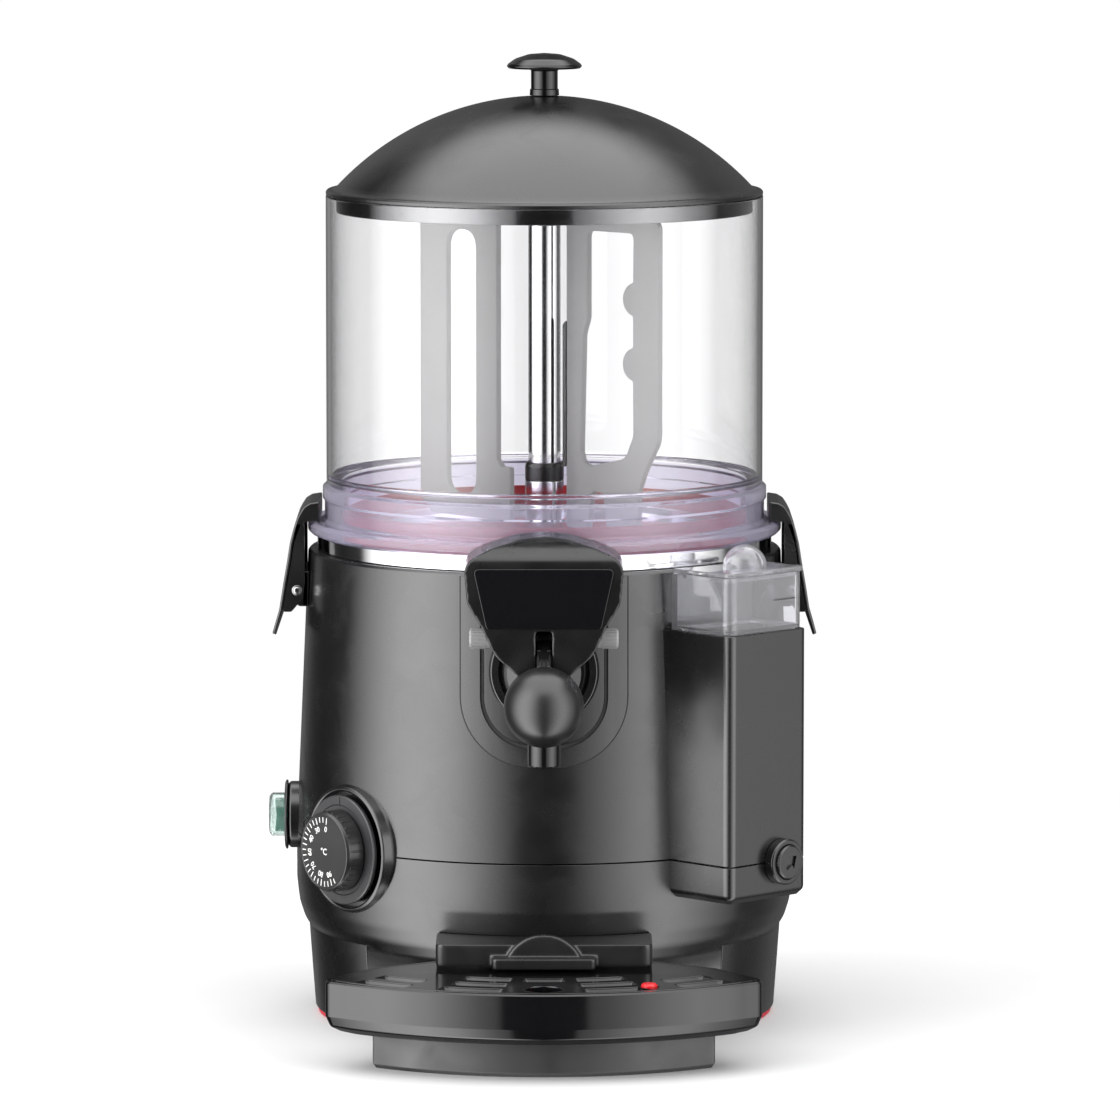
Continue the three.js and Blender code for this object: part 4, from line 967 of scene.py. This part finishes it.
# Drip tray, grille, float and the bracket that carries the tray.
def tray_outline(inset):
    """The tray from above: a curved front, short sides and a back that tapers."""
    half = TRAY_HALF - inset
    r = TRAY_R - inset
    corner = 90 - math.degrees(math.asin((half - 9) / r))
    points = arc(0, TRAY_CENTRE_Y, r, -180 + corner, -corner, 64)
    sides = [(half - 0.3, -216.4 + inset, 7), (half - 2.6, -206, 10), (101 - inset, -171, 12),
             (61 - inset * 0.6, -143 - inset, 5)]
    right = soften([points[-1], *sides, (0, -143 - inset)], 4, closed=False, steps=6)[1:-1]
    return points + right + mirrored(right)


def tray_base(inset):
    """The smaller foot under the tray."""
    half = 99 - inset
    points = arc(0, TRAY_CENTRE_Y, 169 - inset, -125.6, -54.4, 48)
    sides = [(half, -204, 6), (half - 4, -186, 6), (56 - inset, -148 - inset, 5)]
    right = soften([points[-1], *sides, (0, -148 - inset)], 4, closed=False, steps=6)[1:-1]
    return points + right + mirrored(right)


def tray():
    base = sweep(tray_base, [
        (2.6, FLOOR_Z, 1.0), (0, FLOOR_Z + 2.6, 1.8), (0, 17, 0.3), (3, 17)])
    bowl = sweep(tray_outline, [
        (14, 16, 0.3), (9, 16.2, 3), (2.6, 20, 4), (0, 26.4, 1.0), (0, 45.6, 0.8),
        (0.9, 46.7, 0.6), (3.4, 46.7, 0.4), (4, 46, 0.4), (4, 43, 0.4), (8, 42.6, 1),
        (8.6, 23, 2), (14, 21.5)], steps=4)
    deck = plate([soften([
        (-112.4, DECK_Y), (112.4, DECK_Y), (99.6, -171, 6), (60.2, -144.4, 4),
        (-60.2, -144.4, 4), (-99.6, -171, 6)], 1.5)], 43.4, 46.6, 0.5)
    piece("tray_pan", TRAY_BLACK, "tray", joined(bowl, deck), ["drip_tray"])
    piece("tray_foot", FOOT_BLACK, "tray", base)


def slot_outline(r, start, end):
    """A curved slot of the grille as outline(inset)."""
    def outline(inset):
        trim = math.degrees(inset / r)
        far = arc(0, TRAY_CENTRE_Y, r + 6 - inset, start - 90 + trim, end - 90 - trim, 6)
        near = arc(0, TRAY_CENTRE_Y, r - 6 + inset, end - 90 - trim, start - 90 + trim, 6)
        hole = far + near
        for corner in (0, 6, 7, 13):
            hole[corner] = (*hole[corner], 3)
        return soften(hole, 0, steps=5)
    return outline


def grille():
    rim = [p for p in tray_outline(4.6) if p[1] < DECK_Y - 0.8]
    front = sorted(rim, key=lambda p: math.atan2(p[1] - DECK_Y - 6, p[0]))
    back = DECK_Y - 0.5
    outline = soften([(-GRILLE_HALF, back), *front, (GRILLE_HALF, back)], 0.8)
    holes = []
    rims = bmesh.new()
    # The finger hole takes the middle column of two rows, and the last row is shorter.
    for row, r in enumerate(GRILLE_ROWS):
        for i, (start, end) in enumerate(GRILLE_COLUMNS):
            if (row < 2 and i == 2) or (row == 2 and i in (0, 4)):
                continue
            hole = slot_outline(r, start, end)
            holes.append(hole(0))
            joined(rims, sweep(hole, [(-0.2, 46.5), (1.5, 43.5), (-0.2, 43.5)], 0, closed=True))
    holes.append(arc(0, EYE_Y, 12, 0, 351, 39))
    holes.append(arc(FLOAT_X, FLOAT_Y, 5.4, 0, 345, 23))
    top = plate([outline, *holes], 43.4, 46.9, 0.6)
    eye = revolve([(10.6, 43.6), (12.6, 43.6), (12.6, 46.9, 0.8), (10.6, 46.9, 0.8)], SMALL, 0.2)
    eye.transform(at(0, EYE_Y))
    piece("grille_plate", GLOSS, "grille", joined(top, eye, rims), ["drip_grille"])
    float_profile = [
        (0, 21.9), (7.4, 21.9, 0.8), (7.4, 32, 1), (4.8, 33.4, 0.5), (4.8, 48, 0.8),
        (3.6, 49, 0.5), (0, 49)]
    piece("float_pin", FLOAT_RED, "float", revolve(float_profile, SMALL), ["tray_float"],
          place=at(FLOAT_X, FLOAT_Y))


def bracket():
    shelf = slab(soften(rectangle(-63, 63, -178, -120), 6), 48.8, 61.6)
    casing_shape = revolve([
        (0, 30), (122.9, 30), (132.9, 37.6), (139.4, 44), (144.9, 52.5), (147.9, 62), (149.4, 75),
        (0, 90)], 180, 0)
    tab = slab(arc(0, 0, 24, 11, 169, 32), 177, 183, outward(0, 44))
    step = slab(soften(rectangle(-30, 30, -189, -174), 3), 48.8, 55)
    whole = carved(shelf, [("UNION", tab), ("UNION", step), ("DIFFERENCE", casing_shape)],
                   voxel=0.8, passes=3)
    piece("tray_carrier", SATIN_DARK, "housing", whole, ["tray_bracket"], sharp=80)


def rear():
    gland = revolve([
        (4, 138), (6, 138), (6, 149.6), (11, 149.6, 0.6), (11, 152.6, 0.8), (8.8, 153.4, 0.6),
        (8.4, 161.4, 0.8), (7, 163, 0.6), (4, 163)], MEDIUM)
    piece("gland", SATIN_DARK, "housing", gland, ["cable_gland"], place=outward(180, GLAND_Z))


# CAD nodes that stay as they are and only get a material.
KEPT = {
    "boiler_tank": SOFT_STEEL, "bottom_cover": SOFT_STEEL, "outlet_pipe": SOFT_STEEL,
    "heating_element": SOFT_STEEL, "motor_bracket": SOFT_STEEL, "drive_coupling": BRASS,
    "thermostat_bulb": BRASS, "gear_box": MACHINE_GREY, "gear_motor": MACHINE_GREY,
    "thermostat_body": MACHINE_GREY,
}


def keep():
    for name, material in KEPT.items():
        cad = frame["nodes"][name]
        cad.data.materials.clear()
        cad.data.materials.append(material)


# ---- studio ----
def ramp(tree, value, stops):
    made = node(tree, "ValToRGB", {"Fac": value})
    points = made.color_ramp.elements
    points.remove(points[1])
    points[0].position = stops[0][0]
    points[0].color = (stops[0][1],) * 3 + (1,)
    for where, level in stops[1:]:
        points.new(where).color = (level, level, level, 1)
    return made.outputs["Color"]


LIGHT = 4.6  # radiance of the brightest soft box
# Light round the horizon, in degrees right of the front, as shares of LIGHT.
HORIZON = [
    (-180, 0.02), (-160, 0.06), (-145, 0.015), (-125, 0.004), (-106, 0.008), (-101, 0.20),
    (-92, 0.42), (-74, 0.90), (-57, 1.0), (-42, 0.78), (-23, 0.28), (-16.5, 0.17), (-14, 0.012),
    (0, 0.004), (14, 0.012), (16.5, 0.15), (25, 0.24), (45, 0.54), (56, 0.64), (68, 0.58),
    (80, 0.36), (92, 0.20), (101, 0.12), (105, 0.02), (120, 0.03), (150, 0.05), (180, 0.02)]
TOP_LIGHT = 0.58  # the soft box overhead, as a share of LIGHT
TOP_EDGE = (0.62, 0.86)  # heights of the directions between which it fades in


def studio():
    """Soft boxes that light and mirror; the camera sees white, also through clear plastic."""
    world = bpy.data.worlds.new("studio")
    bpy.context.scene.world = world
    world.use_nodes = True
    tree = world.node_tree
    tree.nodes.clear()
    direction = node(tree, "TexCoord").outputs["Generated"]
    split = node(tree, "SeparateXYZ", {0: direction}).outputs
    angle = maths(tree, "ARCTAN2", split["X"], maths(tree, "MULTIPLY", split["Y"], -1.0))
    turn = map_range(tree, angle, -math.pi, math.pi)
    around = ramp(tree, turn, [((a + 180) / 360, v) for a, v in HORIZON])
    above = map_range(tree, split["Z"], *TOP_EDGE, interpolation_type="SMOOTHSTEP")
    both = mix_colour(tree, above, around, (TOP_LIGHT,) * 3)
    soft = node(tree, "Background", {"Color": both, "Strength": LIGHT})
    white = node(tree, "Background", {"Color": (1, 1, 1, 1), "Strength": 1.0})
    path = node(tree, "LightPath").outputs
    bounced = maths(tree, "LESS_THAN", path["Glossy Depth"], 0.5)
    through = maths(tree, "MULTIPLY", path["Is Transmission Ray"], bounced)
    seen = maths(tree, "MAXIMUM", path["Is Camera Ray"], through)
    choice = node(tree, "MixShader", {0: seen, 1: soft.outputs[0], 2: white.outputs[0]})
    out = node(tree, "OutputWorld")
    tree.links.new(choice.outputs[0], out.inputs["Surface"])


FLOOR_RINGS = (0, 200, 400, 700, 1100)
FLOOR_FADE = (0.35, 0.95)  # metres from the axis between which the floor fades out


def floor():
    rings = [circle(r, FLOOR_Z, 64) for r in FLOOR_RINGS]
    made = new_object("floor", turned_by(loft(rings, caps=False), TO_METRES))
    material, tree, shader = new_material("pale_floor", {"Roughness": 0.9})
    dust = spread(tree, noise(tree, 9, 4), 0, 1)
    tree.links.new(mix_colour(tree, dust, (0.69, 0.69, 0.69), (0.71, 0.71, 0.71)),
                   shader.inputs["Base Color"])
    where = node(tree, "TexCoord").outputs["Object"]
    middle = node(tree, "VectorMath", {0: where, 1: AXIS}, operation="DISTANCE")
    fade = map_range(tree, middle.outputs["Value"], *FLOOR_FADE, 1.0, 0.0,
                     interpolation_type="SMOOTHSTEP")
    tree.links.new(fade, shader.inputs["Alpha"])
    made.data.materials.append(material)
    made.visible_glossy = False


CAMERA_LENS = 252.4
CAMERA_FROM_AXIS = (0.0093, -4.680, 0.805)  # metres
CAMERA_DOWN = 6.57  # degrees below level


def camera():
    data = bpy.data.cameras.new("camera")
    data.lens = CAMERA_LENS
    data.sensor_width = 36
    data.clip_start = 0.1
    data.clip_end = 100
    made = bpy.data.objects.new("camera", data)
    made.location = AXIS + Vector(CAMERA_FROM_AXIS)
    made.rotation_euler = (math.radians(90 - CAMERA_DOWN), 0, 0)
    bpy.context.scene.collection.objects.link(made)
    bpy.context.scene.camera = made


def main():
    casing()
    legs()
    vessel()
    stirring()
    lid()
    latch_side("right", False)
    latch_side("left", True)
    dial()
    switch()
    tap_panel()
    tap_hood()
    tap_valve()
    tap_handle()
    tap_inside()
    side_tank()
    tray()
    grille()
    bracket()
    rear()
    keep()
    studio()
    floor()
    camera()
    bpy.context.scene.view_settings.view_transform = "Standard"


main()
